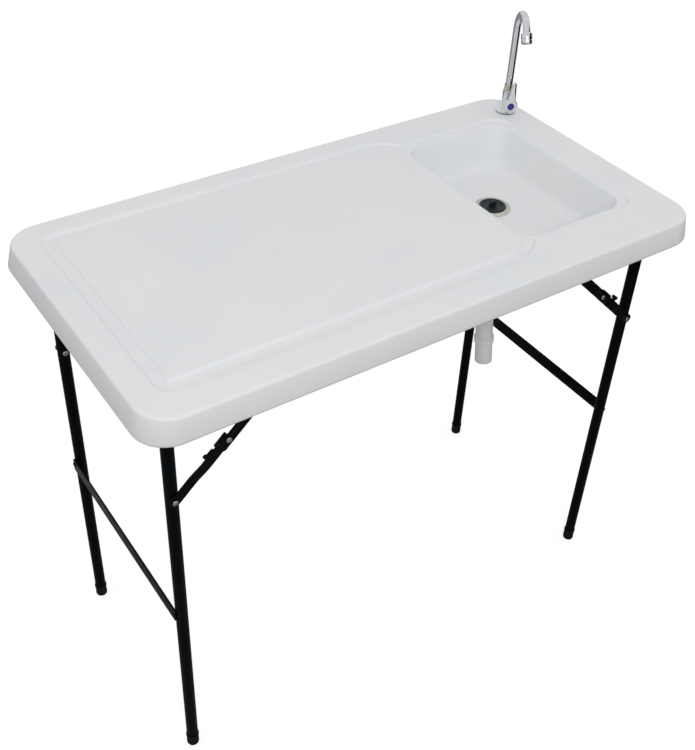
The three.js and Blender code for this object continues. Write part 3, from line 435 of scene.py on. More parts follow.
# %% Sizes of the top, from the frame
top_low, top_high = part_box("tabletop")
half_length, half_width, deck = top_high
deck_thickness, skirt_height = 24 * mm, 51 * mm
deck_under = deck - deck_thickness
skirt_bottom = deck - skirt_height
sink_under = top_low.z
sink_wall = 4 * mm
sink_floor = sink_under + sink_wall
corner_radius = 60 * mm
print("top", half_length * 2, half_width * 2, "sink floor", round(sink_floor, 4))

# %% How far the groove and the sink lie from the edges of the top
groove_from_left, groove_from_front, groove_from_back = 57 * mm, 67 * mm, 50 * mm
groove_width, groove_depth = 25.5 * mm, 5 * mm
groove_corner, inner_corner, turn_radius = 22 * mm, 3 * mm, 87 * mm
groove_left = -half_length + groove_from_left
groove_front = -half_width + groove_from_front
groove_back = half_width - groove_from_back
sink_from_right, sink_length = 70 * mm, 282 * mm
sink_from_back, sink_width = 86 * mm, 411 * mm
sink_right, sink_back = half_length - sink_from_right, half_width - sink_from_back
sink_left, sink_front = sink_right - sink_length, sink_back - sink_width
turn_before_sink = 56 * mm
turn_x = sink_left - turn_before_sink
print("groove from", round(groove_left, 4), "sink from", round(sink_left, 4), "to", round(sink_right, 4))

# %% Walls of the sink and of the groove, and the score line
ledge_width, ledge_depth = 14.5 * mm, 5 * mm
end_draft, side_draft = 17 * mm, 25 * mm
lip_radii = (22 * mm, 42 * mm)
bowl_radii = (lip_radii[0] + end_draft, lip_radii[1])
lip_wall, lip_edge, ledge_fillet = 2 * mm, 1.6 * mm, 2.2 * mm
bowl_edge, floor_fillet = 3.5 * mm, 22 * mm
groove_wall, groove_edge, groove_fillet = 2.8 * mm, 1.3 * mm, 2.2 * mm
wall_top = deck - ledge_depth
wall_height = wall_top - sink_floor
score_from_sink, score_from_front = 145 * mm, 22.5 * mm
score_depth, score_half_width, score_run_out, score_overlap = 2 * mm, 1.7 * mm, 2 * mm, 3 * mm
score_x = sink_left + score_from_sink
score_end = -half_width + score_from_front
print("wall height", round(wall_height, 4))


# %% How far a point lies from a box with round corners
def box_distance(x, y, box, radii):
    """Below zero inside. The box is left, right, front and back; radii are for its left and right corners."""
    left, right, front, back = box
    middle = (left + right) / 2
    radius = np.where(x < middle, radii[0], radii[1])
    across = np.abs(x - middle) - (right - left) / 2 + radius
    along = np.abs(y - (front + back) / 2) - (back - front) / 2 + radius
    outside = np.hypot(np.maximum(across, 0), np.maximum(along, 0))
    return np.minimum(np.maximum(across, along), 0) + outside - radius


far = 100 * mm


def section(points, radii, steps=10):
    """A softened line as a rule from distance to height."""
    line = np.array(soften(points, radii, steps))
    return lambda distance: np.interp(distance, line[:, 0], line[:, 1])


# %% The juice groove's depth at every point
groove_section = section([(-far, 0), (0, 0), (groove_wall, -groove_depth), (far, -groove_depth)],
                         [0, groove_edge, groove_fillet, 0], steps=8)


def groove_share(distance):
    return groove_section(distance) / -groove_depth


def groove_height(x, y):
    """The groove lies between two round-cornered boxes, and past turn_x between two circles."""
    right = 2 * half_length
    outer = (groove_left, right, groove_front, groove_back)
    inner = (groove_left + groove_width, right, groove_front + groove_width, groove_back - groove_width)
    from_outer = -box_distance(x, y, outer, (groove_corner,) * 2)
    from_inner = box_distance(x, y, inner, (inner_corner,) * 2)
    for start, sign in ((groove_front, 1), (groove_back, -1)):
        centre = start + sign * (turn_radius + groove_width / 2)
        turning = (x > turn_x) & ((y - centre) * sign < 0)
        reach = np.hypot(x - turn_x, y - centre)
        from_outer = np.where(turning, turn_radius + groove_width / 2 - reach, from_outer)
        from_inner = np.where(turning, reach - turn_radius + groove_width / 2, from_inner)
    return -groove_depth * groove_share(from_outer) * groove_share(from_inner)


# %% The sink's depth at every point
lip_section = section([(-far, 0), (0, 0), (lip_wall, -ledge_depth), (far, -ledge_depth)],
                      [0, lip_edge, ledge_fillet, 0])
end_section, side_section = (
    section([(-far, 0), (0, 0), (draft, -wall_height), (far, -wall_height)], [0, bowl_edge, floor_fillet, 0])
    for draft in (end_draft, side_draft))


def bowl_box(drop):
    """The bowl's outline at a share of its depth: it draws in as it goes down."""
    along = ledge_width + end_draft * drop
    across = ledge_width + side_draft * drop
    return sink_left + along, sink_right - along, sink_front + across, sink_back - across


def sink_height(x, y):
    """A search by halves finds the share of the depth whose outline runs through the point."""
    lip = -box_distance(x, y, (sink_left, sink_right, sink_front, sink_back), lip_radii)
    low = np.full_like(x, -2.0)
    high = np.full_like(x, 3.0)
    for _ in range(24):
        drop = (low + high) / 2
        inside = box_distance(x, y, bowl_box(drop), bowl_radii) < 0
        low = np.where(inside, drop, low)
        high = np.where(inside, high, drop)
    left, right, front, back = bowl_box(drop)
    radius = np.where(x < (left + right) / 2, bowl_radii[0], bowl_radii[1])
    across = np.maximum(np.abs(x - (left + right) / 2) - (right - left) / 2 + radius, 0)
    along = np.maximum(np.abs(y - (front + back) / 2) - (back - front) / 2 + radius, 0)
    side_share = np.arctan2(along, across) / (math.pi / 2)
    end_height = end_section(drop * end_draft)
    side_height = side_section(drop * side_draft)
    return lip_section(lip) + end_height + (side_height - end_height) * side_share


# %% The whole upper side
def deck_height(x, y):
    height = np.minimum(groove_height(x, y), sink_height(x, y))
    near_score = np.clip(1 - np.abs(x - score_x) / score_half_width, 0, 1)
    along_score = np.clip((y - score_end) / score_run_out, 0, 1) * (y < sink_front + score_overlap)
    return deck + np.minimum(height, -score_depth * near_score * along_score)


# %% Lines of a grid: close where the shape turns
coarse_step, fine_step = 22 * mm, 1.15 * mm


def ruled(low, high, bands, coarse=coarse_step):
    """Places of the lines from low to high. A band is its start, its end and its spacing."""
    places = [low]
    stretches = []
    at = low
    for start, end, spacing in bands:
        stretches += [(at, start, coarse), (start, end, spacing)]
        at = end
    for start, end, spacing in stretches + [(at, high, coarse)]:
        count = max(1, math.ceil((end - start) / spacing - 1e-6))
        places += list(np.linspace(start, end, count + 1)[1:])
    return np.array(places)


# %% The grid of the upper side
grid_past_groove, grid_past_sink, front_flat, back_flat = 4 * mm, 6 * mm, 22 * mm, 21 * mm
bank, patch_reach, patch_step = 1 * mm, 40 * mm, 4 * mm
groove_band, left_band, right_band, side_band = 30 * mm, 48 * mm, 50 * mm, 58 * mm
score_reach, score_step = 1.6 * mm, 0.4 * mm
end_from, end_to, end_step = 0.5 * mm, 4 * mm, 0.7 * mm
drain_low, drain_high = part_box("drain_gasket")
drain_x, drain_y = (drain_low.x + drain_high.x) / 2, (drain_low.y + drain_high.y) / 2
patch_left, patch_right = drain_x - patch_reach, drain_x + patch_reach
patch_front, patch_back = drain_y - patch_reach, drain_y + patch_reach
grid_left, grid_right = groove_left - grid_past_groove, sink_right + grid_past_sink
grid_front, grid_back = -half_width + front_flat, half_width - back_flat
x_lines = ruled(grid_left, grid_right, [
    (groove_left - bank, groove_left + groove_band, fine_step),
    (turn_x, sink_left + left_band, fine_step),
    (patch_left, patch_left + patch_step, patch_step),
    (score_x - score_reach, score_x + score_reach, score_step),
    (patch_right - patch_step, patch_right, patch_step),
    (sink_right - right_band, sink_right + bank, fine_step)])
y_lines = ruled(grid_front, grid_back, [
    (grid_front + end_from, grid_front + end_to, end_step),
    (groove_front - bank, sink_front + side_band, fine_step),
    (patch_front, patch_front + patch_step, patch_step),
    (patch_back - patch_step, patch_back, patch_step),
    (sink_back - side_band, groove_back + bank, fine_step)])
print("grid", len(x_lines), "by", len(y_lines))


# %% A shell gathers vertices and faces
class Shell:
    """Loose patches that are welded into one closed mesh at the end."""

    def __init__(self):
        self.vertices = []
        self.faces = []

    def add(self, vertices, faces):
        start = len(self.vertices)
        self.vertices += [tuple(vertex) for vertex in vertices]
        self.faces += [tuple(start + i for i in face) for face in faces]

    def strip(self, rings):
        """Faces between rings of equal length, each counter-clockwise from above."""
        count = len(rings[0])
        faces = []
        for level in range(len(rings) - 1):
            for i in range(count):
                j = (i + 1) % count
                base = level * count
                faces.append((base + i, base + j, base + count + j, base + count + i))
        self.add([vertex for ring in rings for vertex in ring], faces)

    def fill(self, loops, level, up):
        """A flat sheet inside the first loop and outside the others."""
        points = [Vector(point[:2]) for loop in loops for point in loop]
        edges, start = [], 0
        for loop in loops:
            edges += [(start + i, start + (i + 1) % len(loop)) for i in range(len(loop))]
            start += len(loop)
        flat, _, triangles, _, _, _ = delaunay_2d_cdt(points, edges, [], 1, 1e-9)
        kept = []
        for a, b, c in triangles:
            middle = (flat[a] + flat[b] + flat[c]) / 3
            if sum(inside_loop(middle, loop) for loop in loops) == 1:
                kept.append((a, b, c) if up else (c, b, a))
        self.add([(point.x, point.y, level) for point in flat], kept)


def inside_loop(point, loop):
    odd = False
    for (x0, y0, *_), (x1, y1, *_) in zip(loop, loop[1:] + loop[:1]):
        if (y0 > point.y) != (y1 > point.y) and point.x < x0 + (point.y - y0) / (y1 - y0) * (x1 - x0):
            odd = not odd
    return odd


# %% Rings round the top and round the bowl
corner_steps = 14


def rounded_ring(box, radii, inset, level):
    """A ring of points inside a box with round corners, all at one level."""
    left, right, front, back = box
    corners = [(right, back, radii[1], 0), (left, back, radii[0], 1), (left, front, radii[0], 2),
               (right, front, radii[1], 3)]
    ring = []
    for x, y, radius, quarter in corners:
        reach = radius - inset
        middle_x = x + (radius if x == left else -radius)
        middle_y = y + (radius if y == front else -radius)
        for step in range(corner_steps + 1):
            angle = (quarter + step / corner_steps) * math.pi / 2
            ring.append((middle_x + reach * math.cos(angle), middle_y + reach * math.sin(angle), level))
    return ring


def round_hole(x, y, radius, level):
    return [(*point, level) for point in circle(radius, 48, x, y)]


# %% Skirt, rim and top edge in one run of rings
rim_width, rim_draft, under_reach, top_flat = 26 * mm, 2 * mm, 40 * mm, 1.5 * mm
roll_radius, hem_radius, inner_hem_radius, root_radius = 9 * mm, 9 * mm, 2.5 * mm, 3 * mm
lean_left, lean_right, lean_front, lean_back = 10 * mm, 3 * mm, 7 * mm, 3 * mm
shell = Shell()
skirt_line = soften(
    [(under_reach, deck_under), (rim_width + rim_draft, deck_under), (rim_width, skirt_bottom),
     (0, skirt_bottom), (0, deck), (roll_radius + top_flat, deck)],
    [0, root_radius, inner_hem_radius, hem_radius, roll_radius, 0], steps=8)


def leaning_box(inset, level):
    """The outer wall of the skirt leans in as it rises, most at the left and at the front."""
    lean_from = skirt_bottom + hem_radius
    share = max(level - lean_from, 0) / (deck - lean_from) if inset < rim_width / 2 else 0
    return (lean_left * share - half_length, half_length - lean_right * share,
            lean_front * share - half_width, half_width - lean_back * share)


skirt_rings = [rounded_ring(leaning_box(inset, level), (corner_radius,) * 2, inset, level)
               for inset, level in skirt_line]
shell.strip(skirt_rings)
print("skirt rings", len(skirt_rings), "points each", len(skirt_rings[0]))

# %% Upper side: the grid, a flat frame round it and a flat patch round the drain
grid_x, grid_y = np.meshgrid(x_lines, y_lines)
grid_z = deck_height(grid_x, grid_y)
columns = len(x_lines)
in_patch_x = np.abs((x_lines[:-1] + x_lines[1:]) / 2 - drain_x) < patch_reach
in_patch_y = np.abs((y_lines[:-1] + y_lines[1:]) / 2 - drain_y) < patch_reach
cells = [(r * columns + c, r * columns + c + 1, (r + 1) * columns + c + 1, (r + 1) * columns + c)
         for r in range(len(y_lines) - 1) for c in range(columns - 1)
         if not (in_patch_x[c] and in_patch_y[r])]
shell.add(np.stack([grid_x, grid_y, grid_z], axis=-1).reshape(-1, 3), cells)


def outline_of(xs, ys):
    """The points of grid lines round a rectangle, counter-clockwise."""
    return ([(x, ys[0]) for x in xs[:-1]] + [(xs[-1], y) for y in ys[:-1]]
            + [(x, ys[-1]) for x in xs[:0:-1]] + [(xs[0], y) for y in ys[:0:-1]])


# %% Fill the flat parts round the faucet and round the drain
faucet_low, faucet_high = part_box("spout_collar_nut")
faucet_x, faucet_y = (faucet_low.x + faucet_high.x) / 2, (faucet_low.y + faucet_high.y) / 2
faucet_hole, drain_hole = 8.8 * mm, 23.3 * mm
patch_x = x_lines[np.abs(x_lines - drain_x) < patch_reach + hair]
patch_y = y_lines[np.abs(y_lines - drain_y) < patch_reach + hair]
shell.fill([skirt_rings[-1], outline_of(x_lines, y_lines), round_hole(faucet_x, faucet_y, faucet_hole, deck)],
           deck, True)
shell.fill([outline_of(patch_x, patch_y), round_hole(drain_x, drain_y, drain_hole, sink_floor)],
           sink_floor, True)
print("upper side vertices", len(shell.vertices))

# %% Underside: the bowl seen from below, and the two holes
bowl_rings = []
outer_fillet = floor_fillet + sink_wall
fillet_steps = 8
for step in range(fillet_steps + 1):
    angle = step / fillet_steps * math.pi / 2
    level = sink_under + outer_fillet * (1 - math.cos(angle))
    drop = (wall_top - level) / wall_height
    inset = outer_fillet * (1 - math.sin(angle)) - sink_wall
    bowl_rings.append(rounded_ring(bowl_box(drop), bowl_radii, inset, level))
bowl_rings.append(rounded_ring(bowl_box((wall_top - deck_under) / wall_height), bowl_radii, -sink_wall,
                               deck_under))
shell.strip(bowl_rings)
shell.fill([bowl_rings[0], round_hole(drain_x, drain_y, drain_hole, sink_under)], sink_under, False)
shell.fill([skirt_rings[0], bowl_rings[-1], round_hole(faucet_x, faucet_y, faucet_hole, deck_under)],
           deck_under, False)
shell.strip([round_hole(drain_x, drain_y, drain_hole, level) for level in (sink_floor, sink_under)])
shell.strip([round_hole(faucet_x, faucet_y, faucet_hole, level) for level in (deck, deck_under)])

# %% Weld the shell and dress it
top_mesh = bpy.data.meshes.new("moulded_top")
top_mesh.from_pydata(shell.vertices, [], shell.faces)
dress(make_piece("moulded_top", top_mesh), "tabletop", "moulded_top")
print("top faces", len(top_mesh.polygons))

# %% [markdown]
# The leg frames and the spout are bent from tube. Their paths follow a rule, corner points rounded by one
# bend radius, so Geometry Nodes makes them: the tree rounds the line's corners and sweeps a circle along it.
# A bevelled curve would look alike, but one tree with named inputs serves every tube.


# %% Geometry Nodes helpers
def geometry_tree(name, inputs):
    tree = bpy.data.node_groups.new(name, "GeometryNodeTree")
    tree.interface.new_socket("Geometry", in_out="INPUT", socket_type="NodeSocketGeometry")
    for label, kind in inputs:
        tree.interface.new_socket(label, in_out="INPUT", socket_type=kind)
    tree.interface.new_socket("Geometry", in_out="OUTPUT", socket_type="NodeSocketGeometry")
    return tree, tree.nodes.new("NodeGroupInput"), tree.nodes.new("NodeGroupOutput")


def chain(tree, *nodes):
    """Link the first output of each node to the first input of the next."""
    for before, after in zip(nodes, nodes[1:]):
        tree.links.new(before.outputs[0], after.inputs[0])


def grown(name, tree, values, points, edges=()):
    """Run a tree on a few points, and keep the result as a plain mesh with no modifier."""
    mesh = bpy.data.meshes.new(name + "_points")
    mesh.from_pydata(points, list(edges), [])
    holder = bpy.data.objects.new(name + "_points", mesh)
    bpy.context.scene.collection.objects.link(holder)
    modifier = holder.modifiers.new("Grow", "NODES")
    modifier.node_group = tree
    for item in tree.interface.items_tree:
        if item.in_out == "INPUT" and item.name in values:
            modifier[item.identifier] = values[item.name]
    result = bpy.data.meshes.new_from_object(holder.evaluated_get(bpy.context.evaluated_depsgraph_get()))
    bpy.data.objects.remove(holder)
    return result


# %% The tree that bends a tube
float_kind, count_kind, material_kind = "NodeSocketFloat", "NodeSocketInt", "NodeSocketMaterial"
tube_tree, given, result = geometry_tree("Bent tube", [
    ("Tube Radius", float_kind), ("Bend Radius", float_kind), ("Bend Steps", count_kind),
    ("Sides", count_kind), ("Finish", material_kind)])
to_curve = tube_tree.nodes.new("GeometryNodeMeshToCurve")
bend = tube_tree.nodes.new("GeometryNodeFilletCurve")
bend.mode = "POLY"
sweep = tube_tree.nodes.new("GeometryNodeCurveToMesh")
sweep.inputs["Fill Caps"].default_value = True
ring = tube_tree.nodes.new("GeometryNodeCurvePrimitiveCircle")
realize = tube_tree.nodes.new("GeometryNodeRealizeInstances")
paint = tube_tree.nodes.new("GeometryNodeSetMaterial")
chain(tube_tree, given, to_curve, bend, sweep, realize, paint, result)
tube_tree.links.new(given.outputs["Bend Radius"], bend.inputs["Radius"])
tube_tree.links.new(given.outputs["Bend Steps"], bend.inputs["Count"])
tube_tree.links.new(given.outputs["Tube Radius"], ring.inputs["Radius"])
tube_tree.links.new(given.outputs["Sides"], ring.inputs["Resolution"])
tube_tree.links.new(ring.outputs["Curve"], sweep.inputs["Profile Curve"])
tube_tree.links.new(given.outputs["Finish"], paint.inputs["Material"])
print("tube tree nodes", len(tube_tree.nodes))


def bent_tube(name, points, tube_radius, bend_radius, steps, slot):
    edges = [(i, i + 1) for i in range(len(points) - 1)]
    return make_piece(name, grown(name, tube_tree, {
        "Tube Radius": tube_radius, "Bend Radius": bend_radius, "Bend Steps": steps, "Sides": 36,
        "Finish": finishes[slot]}, points, edges))


# %% The two leg frames
leg_radius, leg_bend = 11.25 * mm, 42 * mm
for end in ("left", "right"):
    node = f"{end}_leg_frame"
    low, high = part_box(node)
    radius = (high.x - low.x) / 2
    x = (low.x + high.x) / 2
    front, back, bar = low.y + radius, high.y - radius, high.z - radius
    path = [(x, front, low.z), (x, front, bar), (x, back, bar), (x, back, low.z)]
    dress(bent_tube(f"{end}_leg_tube", path, radius, leg_bend, 14, "black_tube"), node, "black_steel",
          look="black_tube")
    print(node, "bar at", round(bar, 4))

# %% [markdown]
# Rubber caps close the legs, and each has a rolled rim at its mouth. Rivets hold the braces: their heads are
# domed, with a blind hole from the setting tool. Lathe work like this is quickest as a profile that spins.


# %% Add a turned or a pressed piece
def add_turned(node, points, radii, place, slot, steps=64, wave=None, rounding=5):
    """Spin a softened profile and let it stand for a solid. One that starts off the axis closes to a ring."""
    ring = points[0][0] > 0
    profile = soften(points, radii, rounding, ring) if radii else points
    mesh = turned(node, profile + profile[:1] if ring else profile, steps, wave)
    return dress(make_piece(f"{node}_turned", mesh, place), node, slot)


def add_pressed(node, mesh, place, slot="black_steel", look=None):
    return dress(make_piece(f"{node}_pressed", mesh, place), node, slot, look=look)


# %% Foot caps
leg_bore = leg_radius + fit
cap_floor = 4 * mm
cap_rim, cap_slope = 4.5 * mm, 1.5 * mm
toe_draw, waist_draw = 0.6 * mm, 0.9 * mm
cap_radii = [0, 4 * mm, 1 * mm, 1 * mm, 1.2 * mm, 0.4 * mm, 0, 0]
sides = [(depth, end) for depth in ("front", "back") for end in ("left", "right")]
for depth, end in sides:
    node = f"{depth}_{end}_foot_cap"
    low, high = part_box(node)
    outer = (high.x - low.x) / 2
    height = high.z - low.z
    points = [(0, 0), (outer - toe_draw, 0), (outer - waist_draw, height - cap_rim - cap_slope),
              (outer, height - cap_rim), (outer, height), (leg_bore, height),
              (leg_bore, cap_floor), (0, cap_floor)]
    place = Matrix.Translation(((low.x + high.x) / 2, (low.y + high.y) / 2, low.z))
    add_turned(node, points, cap_radii, place, "black_rubber", 48)
print("foot caps", len(sides))


# %% Places on the braces
def centre(node):
    low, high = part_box(node)
    return (low + high) / 2


def outward(node):
    """1 on the back half of the table and -1 on the front half."""
    return 1 if centre(node).y > 0 else -1


def across(node, pivot):
    """A matrix that lays a turned shape on its side: its Z runs outwards from the table's middle plane."""
    side = outward(node)
    turn = Matrix(((1, 0, 0, 0), (0, 0, side, 0), (0, -side, 0, 0), (0, 0, 0, 1)))
    return Matrix.Translation((pivot.x, 0, pivot.z)) @ turn


def depths(node):
    """How far from the table's middle plane a solid begins and ends."""
    low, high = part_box(node)
    return min(abs(low.y), abs(high.y)), max(abs(low.y), abs(high.y))


# %% Rivets and pins
head_radius, head_height, head_hole = 5.2 * mm, 2.2 * mm, 2.8 * mm
shank_radius = 3 * mm
flare_radius, flare_height = 5 * mm, 1.3 * mm
for depth, end in sides:
    for kind in ("leg_rivet", "knuckle_rivet", "bracket_pin"):
        node = f"{depth}_{end}_{kind}"
        near, farther = depths(node)
        head = dome(head_radius, head_height, farther - head_height, head_hole)
        inner = [(radius, near + farther - level) for radius, level in reversed(head)]
        inner.append((shank_radius, near + head_height))
        neck = (shank_radius, farther - head_height)
        flare = [(0, near), (flare_radius, near), (shank_radius, near + flare_height)]
        profile = {
            "leg_rivet": inner + [(shank_radius, farther), (0, farther)],
            "knuckle_rivet": inner + [neck] + head,
            "bracket_pin": flare + [neck] + head,
        }[kind]
        add_turned(node, profile, None, across(node, centre(node)), "zinc_steel", 32)
print("rivets and pins", 3 * len(sides))

# %% [markdown]
# The braces are pressed from flat steel. Each is drawn once lying flat, with X along the link, and then
# laid between its two pivots, which the frame gives, because a flat drawing is easier to read than a placed
# one. The lower link has a crank: its mesh is cut across in a few places and pushed inwards by a smooth step.

# %% Sizes of the links
link_half, link_thickness = 10 * mm, 2.5 * mm
link_round = link_half * 0.99
press_edge = 0.5 * mm
press_corner = 1.5 * mm
pin_hole = shank_radius + fit
tab_length, tab_thickness, tab_corner = 29 * mm, 2 * mm, 2 * mm
tab_near = link_half + fit
tab_far = tab_near + tab_thickness
overrun, tip_chamfer = 22 * mm, 3 * mm
crank_from, crank_to, crank_in = 54 * mm, 92 * mm, 3 * mm
stand_up = Matrix(((1, 0, 0, 0), (0, 0, -1, 0), (0, 1, 0, 0), (0, 0, 0, 1)))
print("link", 2 * link_half, "by", link_thickness)

# %% Sizes of the catch and of its lug
catch_from, catch_off = 43 * mm, 15.2 * mm
catch_half, catch_reach, catch_thickness = 3.7 * mm, 14.8 * mm, 2 * mm
catch_pin = 2 * mm
catch_round = catch_half * 0.99
catch_radii = [catch_round, catch_round, press_corner, 1.2 * mm, press_corner]
pin_grip = 1 * mm
lug_length, lug_past_pin = 12 * mm, 4.8 * mm
lug_draft, lug_slope, lug_step = 1 * mm, 4 * mm, 2 * mm
lug_radii = [press_corner, 3.2 * mm, 2.5 * mm, press_corner, 1 * mm]
lug_end = catch_from + lug_past_pin
lug_start = lug_end - lug_length
lug_top = catch_off + catch_half
print("lug from", round(lug_start, 4), "to", round(lug_end, 4))


# %% The place of a link
def along_link(start, end, side):
    """X runs from one pivot to the other, Y is the link's upper edge, Z runs outwards."""
    run = Vector((end.x - start.x, 0, end.z - start.z)).normalized()
    up = Vector((-run.z, 0, run.x))
    up = up if up.z > 0 else -up
    place = Matrix((run, up, Vector((0, side, 0)))).transposed().to_4x4()
    place.translation = (start.x, 0, start.z)
    return place


def hole(radius, steps, x=0.0, y=0.0):
    """A round hole in a flat outline runs the other way about."""
    return circle(radius, steps, x, y)[::-1]


def rectangle(left, right, low, high):
    return [(left, low), (right, low), (right, high), (left, high)]


# %% The upper link with its stop tab
def upper_link(reach, near, farther):
    tip = reach + overrun
    tab_start = tip - tab_length
    outline = soften(
        [(-link_half, -link_half), (tip - tip_chamfer, -link_half), (tip, tip_chamfer - link_half),
         (tip, tab_far), (tab_start, tab_far), (tab_start, link_half), (-link_half, link_half)],
        [link_round] + [press_corner] * 5 + [link_round], steps=10, closed=True)
    blade = pressed("blade", outline, [hole(pin_hole, 24), hole(pin_hole, 24, reach)],
                    farther - link_thickness, farther, press_edge)
    tab_outline = soften(rectangle(tab_start, tip, near, farther), tab_corner, closed=True)
    tab = pressed("tab", tab_outline, [], -tab_far, -tab_near, press_edge)
    tab.transform(stand_up)
    return united("upper link", [blade, tab])


# %% The lower link with its crank and the lug of the catch
def lower_link(reach, near):
    face = near + crank_in
    outline = soften(
        [(-link_half, -link_half), (reach + link_half, -link_half), (reach + link_half, link_half),
         (lug_end, link_half), (lug_end - lug_draft, lug_top), (lug_start + lug_draft + lug_slope, lug_top),
         (lug_start + lug_draft, link_half + lug_step), (lug_start, link_half), (-link_half, link_half)],
        [link_round] * 3 + lug_radii + [link_round], steps=10, closed=True)
    holes = [hole(pin_hole, 24), hole(catch_pin + fit / 2, 20, catch_from, catch_off)]
    mesh = pressed("lower link", outline, holes, face, face + link_thickness, press_edge)
    shape = bmesh.new()
    shape.from_mesh(mesh)
    for cut in np.linspace(crank_from, crank_to, 7):
        everything = shape.verts[:] + shape.edges[:] + shape.faces[:]
        bmesh.ops.bisect_plane(shape, geom=everything, plane_co=(cut, 0, 0), plane_no=(1, 0, 0),
                               dist=weld_distance / 2)
    for vertex in shape.verts:
        if vertex.co.y < link_half + 2 * hair:
            share = min(max((vertex.co.x - crank_from) / (crank_to - crank_from), 0), 1)
            vertex.co.z -= crank_in * share * share * (3 - 2 * share)
    shape.to_mesh(mesh)
    shape.free()
    return mesh


# %% The lock catch: a flat lever on a stub pin
def lock_catch(near, farther):
    face = farther - catch_thickness
    root = face + pin_grip
    outline = soften(
        [(catch_half, -catch_half), (catch_half, catch_half), (-catch_reach, catch_half * 0.7),
         (-catch_reach - catch_half, catch_half * 0.3), (-catch_reach - catch_half * 0.6, -catch_half)],
        catch_radii, steps=8, closed=True)
    lever = pressed("catch", outline, [], face, farther, press_edge * 0.8)
    pin = turned("catch pin", [(0, near), (catch_pin, near), (catch_pin, root), (0, root)], 24)
    return united("catch", [lever, pin])


# %% Lay the links of the four braces
for depth, end in sides:
    prefix = f"{depth}_{end}"
    side = outward(f"{prefix}_bracket_pin")
    bracket, knuckle = centre(f"{prefix}_bracket_pin"), centre(f"{prefix}_knuckle_rivet")
    leg = centre(f"{prefix}_leg_rivet")
    node = f"{prefix}_upper_link"
    upper_reach = Vector((knuckle.x - bracket.x, knuckle.z - bracket.z)).length
    add_pressed(node, upper_link(upper_reach, *depths(node)), along_link(bracket, knuckle, side))
    node = f"{prefix}_lower_link"
    lower_reach = Vector((leg.x - knuckle.x, leg.z - knuckle.z)).length
    near, head_out = depths(node)
    add_pressed(node, lower_link(lower_reach, near), along_link(knuckle, leg, side))
    base = head_out - head_height
    head = [(0, base - pin_grip), (shank_radius, base - pin_grip), (shank_radius, base)]
    head += dome(head_radius, head_height, base, head_hole)
    dress(make_piece(f"{prefix}_link_rivet_head", turned("head", head, 32), across(node, leg)), node,
          "zinc_steel", stands_for=False)
    node = f"{prefix}_lock_catch"
    place = along_link(knuckle, leg, side) @ Matrix.Translation((catch_from, catch_off, 0))
    add_pressed(node, lock_catch(*depths(node)), place)
    print(prefix, "links", round(upper_reach, 4), round(lower_reach, 4))

# %% [markdown]
# Under the deck, saddles hold the top bar of each frame and brackets hang the braces. The flat straps tie
# the two legs of a frame together. All of them are pressed steel with a little roundness at every edge, so
# they are drawn flat like the links, and a saddle or a bracket is two such shapes joined.


# %% Cross straps
def upright(x_side):
    """Lays a flat drawing upright: its X becomes Y, its Y becomes Z and its Z becomes X."""
    return Matrix(((0, 0, x_side, 0), (1, 0, 0, 0), (0, 1, 0, 0), (0, 0, 0, 1)))


strap_trim = 8 * mm
plate_corner = 4 * mm
for end, x_side in (("left", -1), ("right", 1)):
    node = f"{end}_cross_strap"
    low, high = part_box(node)
    front, back = low.y + strap_trim, high.y - strap_trim
    outline = soften(rectangle(front, back, low.z, high.z), plate_corner, closed=True)
    inner, outer = sorted((abs(low.x), abs(high.x)))
    strap = pressed(node, outline, [], inner, outer, press_edge)
    add_pressed(node, strap, upright(x_side), look="black_tube")
    print(node, "length", round(back - front, 4))

# %% Sizes of the saddles and the brackets
saddle_half, saddle_plate = 13 * mm, 3 * mm
screw_hole, screw_spread = 2.5 * mm, 23 * mm
bracket_radii = [1 * mm, 1 * mm, 5 * mm, 5 * mm]
swap_depth = Matrix(((1, 0, 0, 0), (0, 0, 1, 0), (0, 1, 0, 0), (0, 0, 0, 1)))


def hanging(half, top, level):
    """An outline with a flat top and a half-round lower end whose middle is at a level."""
    arc = [math.pi * (1 + i / 24) for i in range(25)]
    return [(half, top), (-half, top)] + [(half * math.cos(a), level + half * math.sin(a)) for a in arc]


# %% A saddle: a plate with a block that holds the bar
def saddle_mesh(node, bar_level):
    low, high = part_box(node)
    half = (high.x - low.x) / 2
    reach = (high.y - low.y) / 2
    block = pressed("saddle block", hanging(half, high.z, bar_level), [hole(leg_bore, 40, 0, bar_level)],
                    -saddle_half, saddle_half, press_edge)
    block.transform(stand_up)
    outline = soften(rectangle(-half, half, -reach, reach), plate_corner, closed=True)
    holes = [hole(screw_hole, 20, 0, sign * screw_spread) for sign in (-1, 1)]
    plate = pressed("saddle plate", outline, holes, high.z - saddle_plate, high.z, press_edge)
    return united("saddle", [plate, block])


# %% A bracket: an ear for the pin under a foot with one screw
def bracket_mesh(node, pivot_level, screw_y):
    low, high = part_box(node)
    near, farther = depths(node)
    half = (high.x - low.x) / 2
    ear = pressed("ear", hanging(half, high.z, pivot_level), [hole(pin_hole, 24, 0, pivot_level)],
                  near, near + link_thickness, press_edge)
    ear.transform(swap_depth)
    ear.flip_normals()
    outline = soften(rectangle(-half, half, near, farther), bracket_radii, closed=True)
    foot = pressed("foot", outline, [hole(screw_hole, 20, 0, screw_y)], high.z - link_thickness, high.z,
                   press_edge)
    return united("bracket", [ear, foot])


